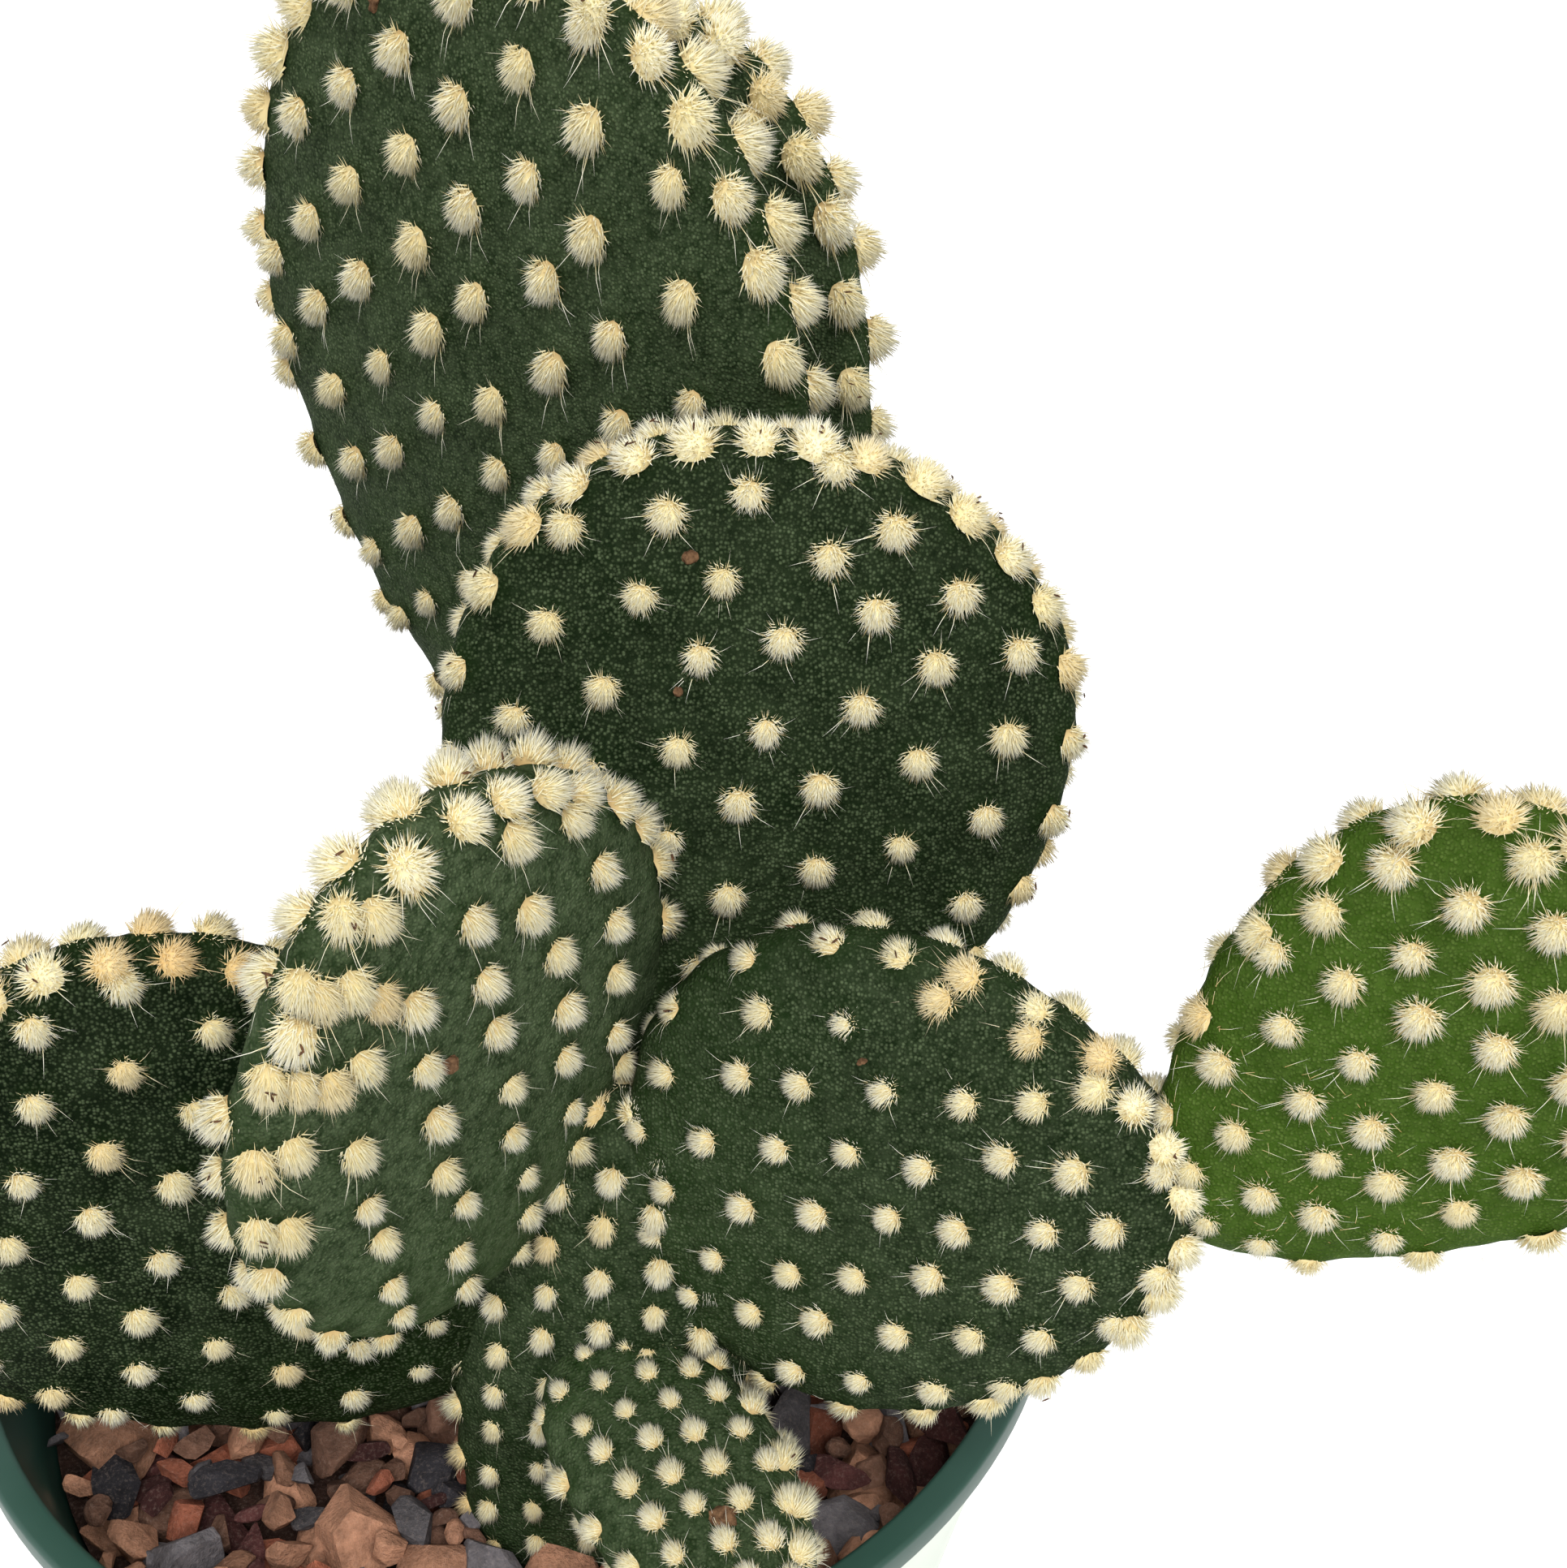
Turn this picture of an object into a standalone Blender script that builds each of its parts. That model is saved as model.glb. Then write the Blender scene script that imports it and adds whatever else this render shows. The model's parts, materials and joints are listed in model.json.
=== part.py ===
"""Potted paddle cactus: a young clump of flat, tufted pads in a round green pot topped with gravel.

The plant stands on two pads that are rooted in the soil. The other eight grow from the edges of
these and of each other. Units are metres, +Z is up, and the origin is the middle of the pot's
underside.
"""

import math

import bmesh
import bpy
from mathutils import Matrix, Vector, noise

MM = 0.001

# Gap left between pieces that touch.
CLEARANCE = 0.3 * MM

# Pot: a thin moulded tub with a narrow lip and four drain holes.
POT_HEIGHT = 88 * MM
POT_LIP_RADIUS = 54 * MM
POT_LIP_HEIGHT = 3 * MM
POT_LIP_OVERHANG = 1.2 * MM
POT_BASE_RADIUS = 36 * MM
POT_WALL = 1.6 * MM
POT_FLOOR = 2.4 * MM
POT_EDGE = 0.5 * MM
POT_SEGMENTS = 72
DRAIN_HOLES = 4
DRAIN_RADIUS = 4 * MM
DRAIN_CIRCLE = 22 * MM

# Fill: potting soil, then a bed of gravel, then the larger loose stones.
BED_BELOW_RIM = 15 * MM
BED_DEPTH = 7 * MM
FILL_SEGMENTS = 48

# Each ring of stones: how many, how far in from the edge of the bed, first angle, stones left out.
STONE_RINGS = (
    (16, 5.0 * MM, 4.0, (6, 7)),
    (9, 15.5 * MM, 6.0, (4, 7)),
)
STONE_LENGTH = 8.6 * MM
STONE_WIDTH = 6.4 * MM
STONE_HEIGHT = 5.2 * MM
STONE_VARIATION = 0.16
STONE_ROUGHNESS = 0.16

# Pads: how the outline and the section swell.
PAD_SEGMENTS = 24
PAD_RINGS = 16
PAD_EDGE_POWER = 0.7
PAD_SECTION_POWER = 0.8

STEM_THICKNESS = 10 * MM
PAD_THICKNESS = 9 * MM
YOUNG_THICKNESS = 7.5 * MM

# How deep the rooted pads reach below the top of the soil.
ROOTED_DEPTH = 8 * MM

# Rooted pads: place on the soil, growing direction and face as (turn, rise) in degrees,
# length, width, thickness, and how much wider the far half is than the near half.
ROOTED_PADS = {
    "front_stem_pad": {
        "place": (8 * MM, -31 * MM), "grows": (56, 81), "faces": (260, 8),
        "length": 68 * MM, "width": 27 * MM, "thickness": STEM_THICKNESS, "swell": 0.03,
    },
    "rear_stem_pad": {
        "place": (8 * MM, 8 * MM), "grows": (77, 73), "faces": (262, 12),
        "length": 72 * MM, "width": 44 * MM, "thickness": STEM_THICKNESS, "swell": 0.10,
    },
}

# Pads that grow from another pad. The joint is a point of the parent: its share of the parent's
# length, its share of the half width there, and how far it lies in front of the middle plane.
# A pad that reaches out over the pot's lip states its joint's height above the lip instead of
# the share of the length.
GROWN_PADS = {
    "left_front_pad": {
        "parent": "front_stem_pad", "joint": (0.75, -0.80, 2.5 * MM), "grows": (-90, 77),
        "faces": (319, 3), "length": 56 * MM, "width": 42 * MM, "thickness": PAD_THICKNESS,
        "swell": 0.0, "touches": (),
    },
    "round_centre_pad": {
        "parent": "front_stem_pad", "joint": (0.93, 0.30, -4.0 * MM), "grows": (58, 61),
        "faces": (274, 21), "length": 58 * MM, "width": 50 * MM, "thickness": PAD_THICKNESS,
        "swell": 0.22, "touches": ("left_front_pad",),
    },
    "right_front_pad": {
        "parent": "front_stem_pad", "joint": (0.91, 0.10, 1.0 * MM), "grows": (-12, 6),
        "faces": (260, 11), "length": 46 * MM, "width": 44 * MM, "thickness": PAD_THICKNESS,
        "swell": -0.19, "touches": ("left_front_pad", "round_centre_pad"),
    },
    "far_left_pad": {
        "parent": "front_stem_pad", "joint": (0.51, -0.85, -1.0 * MM), "grows": (-175, 43),
        "faces": (276, -1), "length": 59 * MM, "width": 53 * MM, "thickness": PAD_THICKNESS,
        "swell": 0.30, "touches": ("left_front_pad",),
    },
    "small_front_pad": {
        "parent": "front_stem_pad", "above_lip": 11.5 * MM, "joint": (None, -0.18, 1.9 * MM),
        "grows": (-54, -7), "faces": (286, 49), "length": 31 * MM, "width": 17 * MM,
        "thickness": YOUNG_THICKNESS, "swell": -0.05, "touches": ("right_front_pad",),
    },
    "young_right_pad": {
        "parent": "right_front_pad", "joint": (0.95, 0.25, -1.0 * MM), "grows": (-4, 46),
        "faces": (254, 5), "length": 46 * MM, "width": 34 * MM, "thickness": YOUNG_THICKNESS,
        "swell": 0.40, "touches": (),
    },
    "tall_left_pad": {
        "parent": "rear_stem_pad", "joint": (0.90, -0.44, 1.0 * MM), "grows": (169, 87),
        "faces": (234, 1), "length": 84 * MM, "width": 61 * MM, "thickness": STEM_THICKNESS,
        "swell": 0.16, "touches": ("round_centre_pad",),
    },
    "tall_right_pad": {
        "parent": "rear_stem_pad", "joint": (0.92, 0.60, -1.5 * MM), "grows": (118, 78),
        "faces": (240, 5), "length": 76 * MM, "width": 41 * MM, "thickness": PAD_THICKNESS,
        "swell": 0.26, "touches": ("tall_left_pad",),
    },
}
YOUNG_PADS = ("young_right_pad",)

GREEN_SKIN = (0.035, 0.065, 0.035)
YOUNG_SKIN = (0.085, 0.170, 0.030)
POT_GREEN = (0.022, 0.055, 0.030)
SOIL_BROWN = (0.030, 0.020, 0.014)
GRAVEL_BROWN = (0.200, 0.110, 0.075)
STONE_COLOURS = {
    "tan": (0.46, 0.24, 0.13),
    "terracotta": (0.42, 0.12, 0.06),
    "maroon": (0.12, 0.035, 0.03),
    "grey": (0.11, 0.10, 0.10),
}


def start_empty():
    """Remove whatever the scene holds."""
    for obj in list(bpy.data.objects):
        bpy.data.objects.remove(obj, do_unlink=True)


def material(name, colour, roughness, metallic=0.0):
    """A plain Principled material."""
    made = bpy.data.materials.get(name)
    if made is None:
        made = bpy.data.materials.new(name)
        made.use_nodes = True
        shader = made.node_tree.nodes["Principled BSDF"]
        shader.inputs["Base Color"].default_value = (*colour, 1.0)
        shader.inputs["Roughness"].default_value = roughness
        shader.inputs["Metallic"].default_value = metallic
    return made


def object_from(bm, name, finish=None, smooth_angle=40.0):
    """Turn a bmesh into a named object, smooth but for its sharp edges."""
    bm.normal_update()
    bmesh.ops.recalc_face_normals(bm, faces=bm.faces)
    mesh = bpy.data.meshes.new(name)
    bm.to_mesh(mesh)
    bm.free()
    mesh.shade_smooth()
    mesh.set_sharp_from_angle(angle=math.radians(smooth_angle))
    obj = bpy.data.objects.new(name, mesh)
    bpy.context.scene.collection.objects.link(obj)
    if finish is not None:
        mesh.materials.append(finish)
    return obj


def subtract(obj, cutter, name):
    """Cut one closed shape out of another."""
    cutter.hide_render = True
    cutter.display_type = "WIRE"
    cut = obj.modifiers.new(name, "BOOLEAN")
    cut.operation = "DIFFERENCE"
    cut.solver = "EXACT"
    cut.object = cutter


def direction(angles):
    """Unit vector from a turn about +Z, measured from +X, and a rise, in degrees."""
    turn, rise = (math.radians(angle) for angle in angles)
    return Vector((math.cos(rise) * math.cos(turn), math.cos(rise) * math.sin(turn), math.sin(rise)))


def outer_radius(height):
    """Radius of the outside of the pot's tapered wall at a height."""
    top = POT_LIP_RADIUS - POT_LIP_OVERHANG
    return POT_BASE_RADIUS + (top - POT_BASE_RADIUS) * height / POT_HEIGHT


def inner_radius(height):
    """Radius of the inside of the pot's wall at a height."""
    return outer_radius(height) - POT_WALL


def bed_top():
    """Height of the top of the gravel bed."""
    return POT_HEIGHT - BED_BELOW_RIM


def soil_top():
    """Height of the top of the soil."""
    return bed_top() - BED_DEPTH - CLEARANCE


class Pad:
    """Place, directions and shape of one flat pad."""

    def __init__(self, base, values):
        self.base = Vector(base)
        self.length = values["length"]
        self.width = values["width"]
        self.thickness = values["thickness"]
        self.swell = values["swell"]
        self.along = direction(values["grows"])
        facing = direction(values["faces"])
        self.out = (facing - self.along * facing.dot(self.along)).normalized()
        self.across = self.along.cross(self.out)

    def half_width(self, share):
        """Half the pad's width at a share of its length."""
        cosine = 1.0 - 2.0 * share
        return 0.5 * self.width * math.sqrt(max(1.0 - cosine ** 2, 0.0)) * (1.0 - self.swell * cosine)

    def share_at(self, height):
        """The share of the length at which the middle of the pad is at a height."""
        return (height - self.base.z) / (self.length * self.along.z)

    def point(self, share, side, out):
        """A point by share of the length, share of the half width, and distance out of the middle."""
        place = self.base + self.along * (share * self.length)
        return place + self.across * (side * self.half_width(share)) + self.out * out

    def surface_point(self, unit, grow):
        """Where a point of the unit sphere goes on the pad, grown outward by a margin."""
        cosine = max(-1.0, min(1.0, -unit.z))
        sine = math.sqrt(max(1.0 - cosine ** 2, 0.0))
        round_x = unit.x / sine if sine > 1e-9 else 0.0
        round_y = unit.y / sine if sine > 1e-9 else 0.0
        half_width = (0.5 * self.width + grow) * sine * (1.0 - self.swell * cosine)
        half_depth = (0.5 * self.thickness + grow) * sine ** PAD_EDGE_POWER
        side = -half_width * round_x
        depth = half_depth * math.copysign(abs(round_y) ** PAD_SECTION_POWER, round_y)
        far = 0.5 * self.length - (0.5 * self.length + grow) * cosine
        return self.base + self.along * far + self.across * side + self.out * depth

    def build(self, name, finish=None, grow=0.0):
        """The pad as a closed body, or a grown copy of it for cutting."""
        bm = bmesh.new()
        bmesh.ops.create_uvsphere(bm, u_segments=PAD_SEGMENTS, v_segments=PAD_RINGS, radius=1.0)
        for vert in bm.verts:
            vert.co = self.surface_point(vert.co.copy(), grow)
        return object_from(bm, name, finish, smooth_angle=60.0)


def build_pot():
    """The pot, spun from its section, with its drain holes."""
    lip_bottom = POT_HEIGHT - POT_LIP_HEIGHT
    section = (
        (0.0, 0.0),
        (POT_BASE_RADIUS - POT_EDGE, 0.0),
        (POT_BASE_RADIUS, POT_EDGE),
        (outer_radius(lip_bottom), lip_bottom),
        (POT_LIP_RADIUS - POT_EDGE, lip_bottom),
        (POT_LIP_RADIUS, lip_bottom + POT_EDGE),
        (POT_LIP_RADIUS, POT_HEIGHT - POT_EDGE),
        (POT_LIP_RADIUS - POT_EDGE, POT_HEIGHT),
        (inner_radius(POT_HEIGHT) + POT_EDGE, POT_HEIGHT),
        (inner_radius(POT_HEIGHT - POT_EDGE), POT_HEIGHT - POT_EDGE),
        (inner_radius(POT_FLOOR), POT_FLOOR),
        (0.0, POT_FLOOR),
    )
    bm = bmesh.new()
    verts = [bm.verts.new((radius, 0.0, height)) for radius, height in section]
    edges = [bm.edges.new(pair) for pair in zip(verts, verts[1:])]
    bmesh.ops.spin(
        bm, geom=verts + edges, cent=(0.0, 0.0, 0.0), axis=(0.0, 0.0, 1.0),
        angle=math.tau, steps=POT_SEGMENTS, use_merge=True, use_duplicate=False,
    )
    bmesh.ops.remove_doubles(bm, verts=bm.verts, dist=0.01 * MM)
    pot = object_from(bm, "pot", material("pot_green_plastic", POT_GREEN, 0.4))
    for index in range(DRAIN_HOLES):
        turn = math.tau * (index + 0.5) / DRAIN_HOLES
        place = (DRAIN_CIRCLE * math.cos(turn), DRAIN_CIRCLE * math.sin(turn), 0.5 * POT_FLOOR)
        drill = bmesh.new()
        bmesh.ops.create_cone(
            drill, cap_ends=True, segments=20, radius1=DRAIN_RADIUS, radius2=DRAIN_RADIUS,
            depth=3.0 * POT_FLOOR, matrix=Matrix.Translation(place),
        )
        subtract(pot, object_from(drill, f"drain_drill_{index + 1}"), f"drain_{index + 1}")
    return pot


def build_layer(name, bottom, top, finish):
    """A round layer of fill that follows the tapered wall."""
    bm = bmesh.new()
    bmesh.ops.create_cone(
        bm, cap_ends=True, segments=FILL_SEGMENTS, radius1=inner_radius(bottom) - CLEARANCE,
        radius2=inner_radius(top) - CLEARANCE, depth=top - bottom,
        matrix=Matrix.Translation((0.0, 0.0, 0.5 * (bottom + top))),
    )
    return object_from(bm, name, finish)


def build_stone(name, place, turn, seed, finish):
    """One loose stone, its underside a clearance above the bed."""
    swing = (seed * 0.618034) % 1.0 - 0.5
    size = Vector((
        STONE_LENGTH * (1.0 + STONE_VARIATION * swing),
        STONE_WIDTH * (1.0 - STONE_VARIATION * swing),
        STONE_HEIGHT * (1.0 + STONE_VARIATION * swing),
    ))
    bm = bmesh.new()
    bmesh.ops.create_icosphere(bm, subdivisions=2, radius=0.5)
    for vert in bm.verts:
        spot = vert.co * 3.1 + Vector((7.3 * seed, 1.9 * seed, 0.0))
        vert.co *= 1.0 + STONE_ROUGHNESS * noise.noise(spot)
        vert.co = Vector((vert.co.x * size.x, vert.co.y * size.y, vert.co.z * size.z))
    bmesh.ops.rotate(bm, verts=bm.verts, cent=(0.0, 0.0, 0.0), matrix=Matrix.Rotation(turn, 3, "Z"))
    lowest = min(vert.co.z for vert in bm.verts)
    rise = bed_top() + CLEARANCE - lowest
    bmesh.ops.translate(bm, verts=bm.verts, vec=(place[0], place[1], rise))
    return object_from(bm, name, finish, smooth_angle=30.0)


def build_stones():
    """The larger stones, in rings measured in from the edge of the bed."""
    edge = inner_radius(bed_top()) - CLEARANCE
    colours = list(STONE_COLOURS)
    number = 0
    for count, inset, first, left_out in STONE_RINGS:
        for step in range(count):
            if step in left_out:
                continue
            number += 1
            turn = math.radians(first + 360.0 * step / count)
            radius = edge - inset
            colour = colours[(number * 3) % len(colours)]
            place = (radius * math.cos(turn), radius * math.sin(turn))
            finish = material(f"stone_{colour}", STONE_COLOURS[colour], 0.8)
            build_stone(f"stone_{number:02d}", place, turn + 0.5 * math.pi, number, finish)


def build_plant():
    """All the pads. A grown pad is trimmed to sit against its parent and the pads it touches."""
    skin = material("pad_green_skin", GREEN_SKIN, 0.55)
    young = material("pad_young_skin", YOUNG_SKIN, 0.5)
    pads = {}
    for name, values in ROOTED_PADS.items():
        pads[name] = Pad((*values["place"], soil_top() - ROOTED_DEPTH), values)
    for name, values in GROWN_PADS.items():
        parent = pads[values["parent"]]
        share, side, out = values["joint"]
        if "above_lip" in values:
            share = parent.share_at(POT_HEIGHT + values["above_lip"])
        pads[name] = Pad(parent.point(share, side, out), values)
    solids = {}
    cutters = {}
    for name, pad in pads.items():
        solids[name] = pad.build(name, young if name in YOUNG_PADS else skin)
        cutters[name] = pad.build(f"{name}_room", grow=CLEARANCE)
        cutters[name].hide_render = True
        cutters[name].display_type = "WIRE"
    for name, values in GROWN_PADS.items():
        for other in (values["parent"], *values["touches"]):
            subtract(solids[name], cutters[other], f"against_{other}")
    return cutters


def build():
    """Build every piece."""
    start_empty()
    build_pot()
    soil = build_layer(
        "soil", POT_FLOOR + CLEARANCE, soil_top(), material("potting_soil", SOIL_BROWN, 0.95),
    )
    bed = build_layer(
        "gravel_bed", soil_top() + CLEARANCE, bed_top(), material("gravel_mixed", GRAVEL_BROWN, 0.9),
    )
    build_stones()
    rooms = build_plant()
    for name in ROOTED_PADS:
        subtract(soil, rooms[name], f"pocket_{name}")
        subtract(bed, rooms[name], f"opening_{name}")


build()
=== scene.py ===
"""Potted paddle cactus: the detailed model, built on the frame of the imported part.

It is laid out as an add-on that also runs as a script. Each operator builds one piece, or one
group of like pieces, from the settings in the sidebar. Lengths are metres and +Z is up.
"""

import json
import math
import random

import bmesh
import bpy
import numpy as np
from mathutils import Matrix, Vector, kdtree, noise

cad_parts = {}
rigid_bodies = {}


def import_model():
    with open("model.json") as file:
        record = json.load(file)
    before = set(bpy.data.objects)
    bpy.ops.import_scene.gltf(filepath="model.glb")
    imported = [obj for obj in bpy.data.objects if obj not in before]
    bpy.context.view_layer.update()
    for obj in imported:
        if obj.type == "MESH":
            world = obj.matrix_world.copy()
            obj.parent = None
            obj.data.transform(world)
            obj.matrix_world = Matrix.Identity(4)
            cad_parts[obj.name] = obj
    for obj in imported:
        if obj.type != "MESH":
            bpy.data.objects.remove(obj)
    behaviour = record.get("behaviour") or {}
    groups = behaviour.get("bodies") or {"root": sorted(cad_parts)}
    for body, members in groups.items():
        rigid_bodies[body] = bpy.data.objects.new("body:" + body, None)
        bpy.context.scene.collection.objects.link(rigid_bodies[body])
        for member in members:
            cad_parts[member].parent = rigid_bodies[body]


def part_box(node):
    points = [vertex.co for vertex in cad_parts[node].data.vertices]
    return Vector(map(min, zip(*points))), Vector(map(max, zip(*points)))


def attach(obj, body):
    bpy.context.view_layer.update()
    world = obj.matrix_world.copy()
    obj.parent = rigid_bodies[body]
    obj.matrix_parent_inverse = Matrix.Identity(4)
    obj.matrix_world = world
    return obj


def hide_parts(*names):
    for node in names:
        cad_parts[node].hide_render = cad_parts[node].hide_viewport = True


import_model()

bl_info = {
    "name": "Potted paddle cactus",
    "version": (1, 0, 0),
    "blender": (4, 5, 0),
    "location": "View3D > Sidebar > Cactus",
    "description": "Builds a potted paddle cactus piece by piece",
    "category": "Add Mesh",
}

MM = 0.001
GOLDEN_ANGLE = math.pi * (3.0 - math.sqrt(5.0))
CLEARANCE = 0.3 * MM

# How the outline and the section of a pad swell, and how deep the two stems stand in the soil.
PAD_EDGE_POWER = 0.7
PAD_SECTION_POWER = 0.8
ROOTED_DEPTH = 8 * MM

# The pads. "grows" and "faces" are directions as (turn, rise) in degrees. A rooted pad has a place
# on the soil. A grown pad has a joint on its parent, as (share of the parent's length, share of
# its half width, distance out of its middle), and "above_lip" sets the first of these by height.
#   pitch, tuft    distances between tufts across and along the pad, and the radius of a tuft
#   stretch, tone  how much longer than wide the tufts are, and how much warmer in colour;
#                  on the far left pad the warmer, darker tufts are painted shade
#   dust           how dusty the skin is, from 0 to 1; it also scales the green of the skin,
#                  painted shade on the pads in shadow and painted light on the lit ones
#   clusters       tufts grown together, as (share of length, share of half width, number)
ROOTED_PADS = {
    "front_stem_pad": {
        "place": (8 * MM, -31 * MM), "grows": (56, 81), "faces": (260, 8),
        "length": 68 * MM, "width": 27 * MM, "thickness": 10 * MM, "swell": 0.03,
        "pitch": (4.5 * MM, 4.9 * MM), "tuft": 1.35 * MM, "stretch": 1.25, "tone": 0.3,
    },
    "rear_stem_pad": {
        "place": (8 * MM, 8 * MM), "grows": (77, 73), "faces": (262, 12),
        "length": 72 * MM, "width": 44 * MM, "thickness": 10 * MM, "swell": 0.10,
        "pitch": (7.6 * MM, 8.2 * MM), "tuft": 1.45 * MM,
    },
}
GROWN_PADS = {
    "left_front_pad": {
        "parent": "front_stem_pad", "joint": (0.75, -0.80, 2.5 * MM),
        "grows": (-90, 77), "faces": (319, 3),
        "length": 56 * MM, "width": 42 * MM, "thickness": 9 * MM, "swell": 0.0,
        "pitch": (6.4 * MM, 6.2 * MM), "tuft": 1.6 * MM, "stretch": 1.2, "dust": 1.0,
        "clusters": (
            (0.96, -0.80, 2), (0.885, -0.78, 4), (0.79, -0.80, 4), (0.70, -0.92, 2),
            (0.57, -0.95, 2),
        ),
    },
    "round_centre_pad": {
        "parent": "front_stem_pad", "joint": (0.93, 0.30, -4.0 * MM),
        "grows": (58, 61), "faces": (274, 21),
        "length": 58 * MM, "width": 50 * MM, "thickness": 9 * MM, "swell": 0.22,
        "pitch": (6.4 * MM, 7.0 * MM), "tuft": 1.7 * MM, "tone": 0.1, "dust": 0.15,
    },
    "right_front_pad": {
        "parent": "front_stem_pad", "joint": (0.91, 0.10, 1.0 * MM),
        "grows": (-12, 6), "faces": (260, 11),
        "length": 46 * MM, "width": 44 * MM, "thickness": 9 * MM, "swell": -0.19,
        "pitch": (5.7 * MM, 5.9 * MM), "tuft": 1.55 * MM, "dust": 0.35,
        "clusters": ((0.60, -0.93, 2), (0.72, -0.93, 2), (0.84, -0.88, 2)),
    },
    # The far left pad lies in shadow: its dust of 0 darkens its green and its tone darkens its tufts,
    # both painted shade.
    "far_left_pad": {
        "parent": "front_stem_pad", "joint": (0.51, -0.85, -1.0 * MM),
        "grows": (-175, 43), "faces": (276, -1),
        "length": 59 * MM, "width": 53 * MM, "thickness": 9 * MM, "swell": 0.30,
        "pitch": (7.0 * MM, 6.6 * MM), "tuft": 1.65 * MM, "tone": 0.25, "dust": 0.0,
    },
    "small_front_pad": {
        "parent": "front_stem_pad", "joint": (None, -0.18, 1.9 * MM), "above_lip": 11.5 * MM,
        "grows": (-54, -7), "faces": (286, 49),
        "length": 31 * MM, "width": 17 * MM, "thickness": 7.5 * MM, "swell": -0.05,
        "pitch": (3.3 * MM, 3.5 * MM), "tuft": 1.25 * MM, "stretch": 1.2, "dust": 1.0,
    },
    "young_right_pad": {
        "parent": "right_front_pad", "joint": (0.95, 0.25, -1.0 * MM),
        "grows": (-4, 46), "faces": (254, 5),
        "length": 46 * MM, "width": 34 * MM, "thickness": 7.5 * MM, "swell": 0.40,
        "pitch": (5.1 * MM, 5.4 * MM), "tuft": 1.85 * MM, "tone": 0.15, "skin": "young",
    },
    "tall_left_pad": {
        "parent": "rear_stem_pad", "joint": (0.90, -0.44, 1.0 * MM),
        "grows": (169, 87), "faces": (234, 1),
        "length": 84 * MM, "width": 61 * MM, "thickness": 10 * MM, "swell": 0.16,
        "pitch": (7.2 * MM, 8.3 * MM), "tuft": 1.9 * MM, "stretch": 1.35, "tone": 0.15,
    },
    "tall_right_pad": {
        "parent": "rear_stem_pad", "joint": (0.92, 0.60, -1.5 * MM),
        "grows": (118, 78), "faces": (240, 5),
        "length": 76 * MM, "width": 41 * MM, "thickness": 9 * MM, "swell": 0.26,
        "pitch": (7.2 * MM, 8.3 * MM), "tuft": 1.9 * MM, "stretch": 1.35, "tone": 0.15,
    },
}

# The skin: how finely it is made. In mm, how much it swells under a tuft, how far that reaches, and
# its unevenness as (height, waves per metre).
SKIN_SEGMENTS = (112, 84)
SWELLING = 0.50
SWELLING_REACH = 2.3
UNEVENNESS = ((0.38, 55.0), (0.14, 170.0))

# Tufts on a face: how far they stray from their place and keep from the rim, as shares of the
# pitch, and where their lines start and end, as shares of the pad's length.
TUFT_JITTER = 0.06
FOOT_MARGIN = 0.42
TOP_MARGIN = 0.34
LINE_ENDS = (0.03, 0.975)

# Tufts on the rim: where they start, as a share of the half turn from foot to far end, in how many
# steps the rim is walked, and how far in from it a tuft is set, upright and more for its lean.
RIM_START = 0.16
RIM_STEPS = 500
RIM_INSET = 0.25 * MM
LEAN_INSET = 1.1 * MM

# Tufts grown together: how far apart, how much their line slopes, and how far others keep away.
CLUSTER_STEP = 2.3 * MM
CLUSTER_SLOPE = 0.10
CLUSTER_CLEARANCE = 2.7 * MM

# Hairs: how many different clumps, fans and stray hairs there are, how many hairs make a clump and
# a fan, and their widths for a tuft of radius 1.
CLUMP_SHAPES = 16
FRINGE_SHAPES = 8
STRAY_SHAPES = 12
CLUMP_HAIRS = 15
FRINGE_HAIRS = 9
CLUMP_WIDTH = 0.055
FRINGE_WIDTH = 0.026
STRAY_WIDTH = 0.013

# Tufts larger than this radius have hairs that are shorter for their size.
LONG_HAIR_RADIUS = 1.5 * MM

# Loose hairs round a tuft on a young pad, and up to which share of its length they grow.
LOOSE_HAIRS = 9
LOOSE_REACH = 0.42

# The tone of the warmest tufts.
WARMEST = 1.4

# How a tuft is built, for a radius of 1: the dome under the hairs, the rings of clumps as (clumps,
# tilt from upright in degrees, share of the hair's length), the length of a hair, how far the
# clumps spread, how much the hairs stand up, how much they are combed down, how far the whole tuft
# hangs down, and how many fans are in the fringe round its foot.
TUFT_FORMS = {
    "old": {
        "core": (0.66, 0.66, 0.62), "rings": ((1, 0, 1.0), (6, 32, 1.0), (10, 64, 0.92)),
        "hair": 0.66, "spread": 0.70, "upright": 0.35, "comb": 0.85, "hang": 0.12, "fringes": 6,
    },
    "young": {
        "core": (0.60, 0.60, 0.62), "rings": ((1, 0, 0.9), (6, 34, 0.95), (10, 66, 0.95)),
        "hair": 0.62, "spread": 0.62, "upright": 0.30, "comb": 0.45, "hang": 0.12, "fringes": 8,
    },
}

# Dry chips on the rims: how many tufts of each pad have caught some.
CHIPS = {
    "round_centre_pad": 26, "left_front_pad": 18, "right_front_pad": 16, "tall_left_pad": 16,
    "far_left_pad": 10, "small_front_pad": 12, "tall_right_pad": 8,
}

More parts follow.
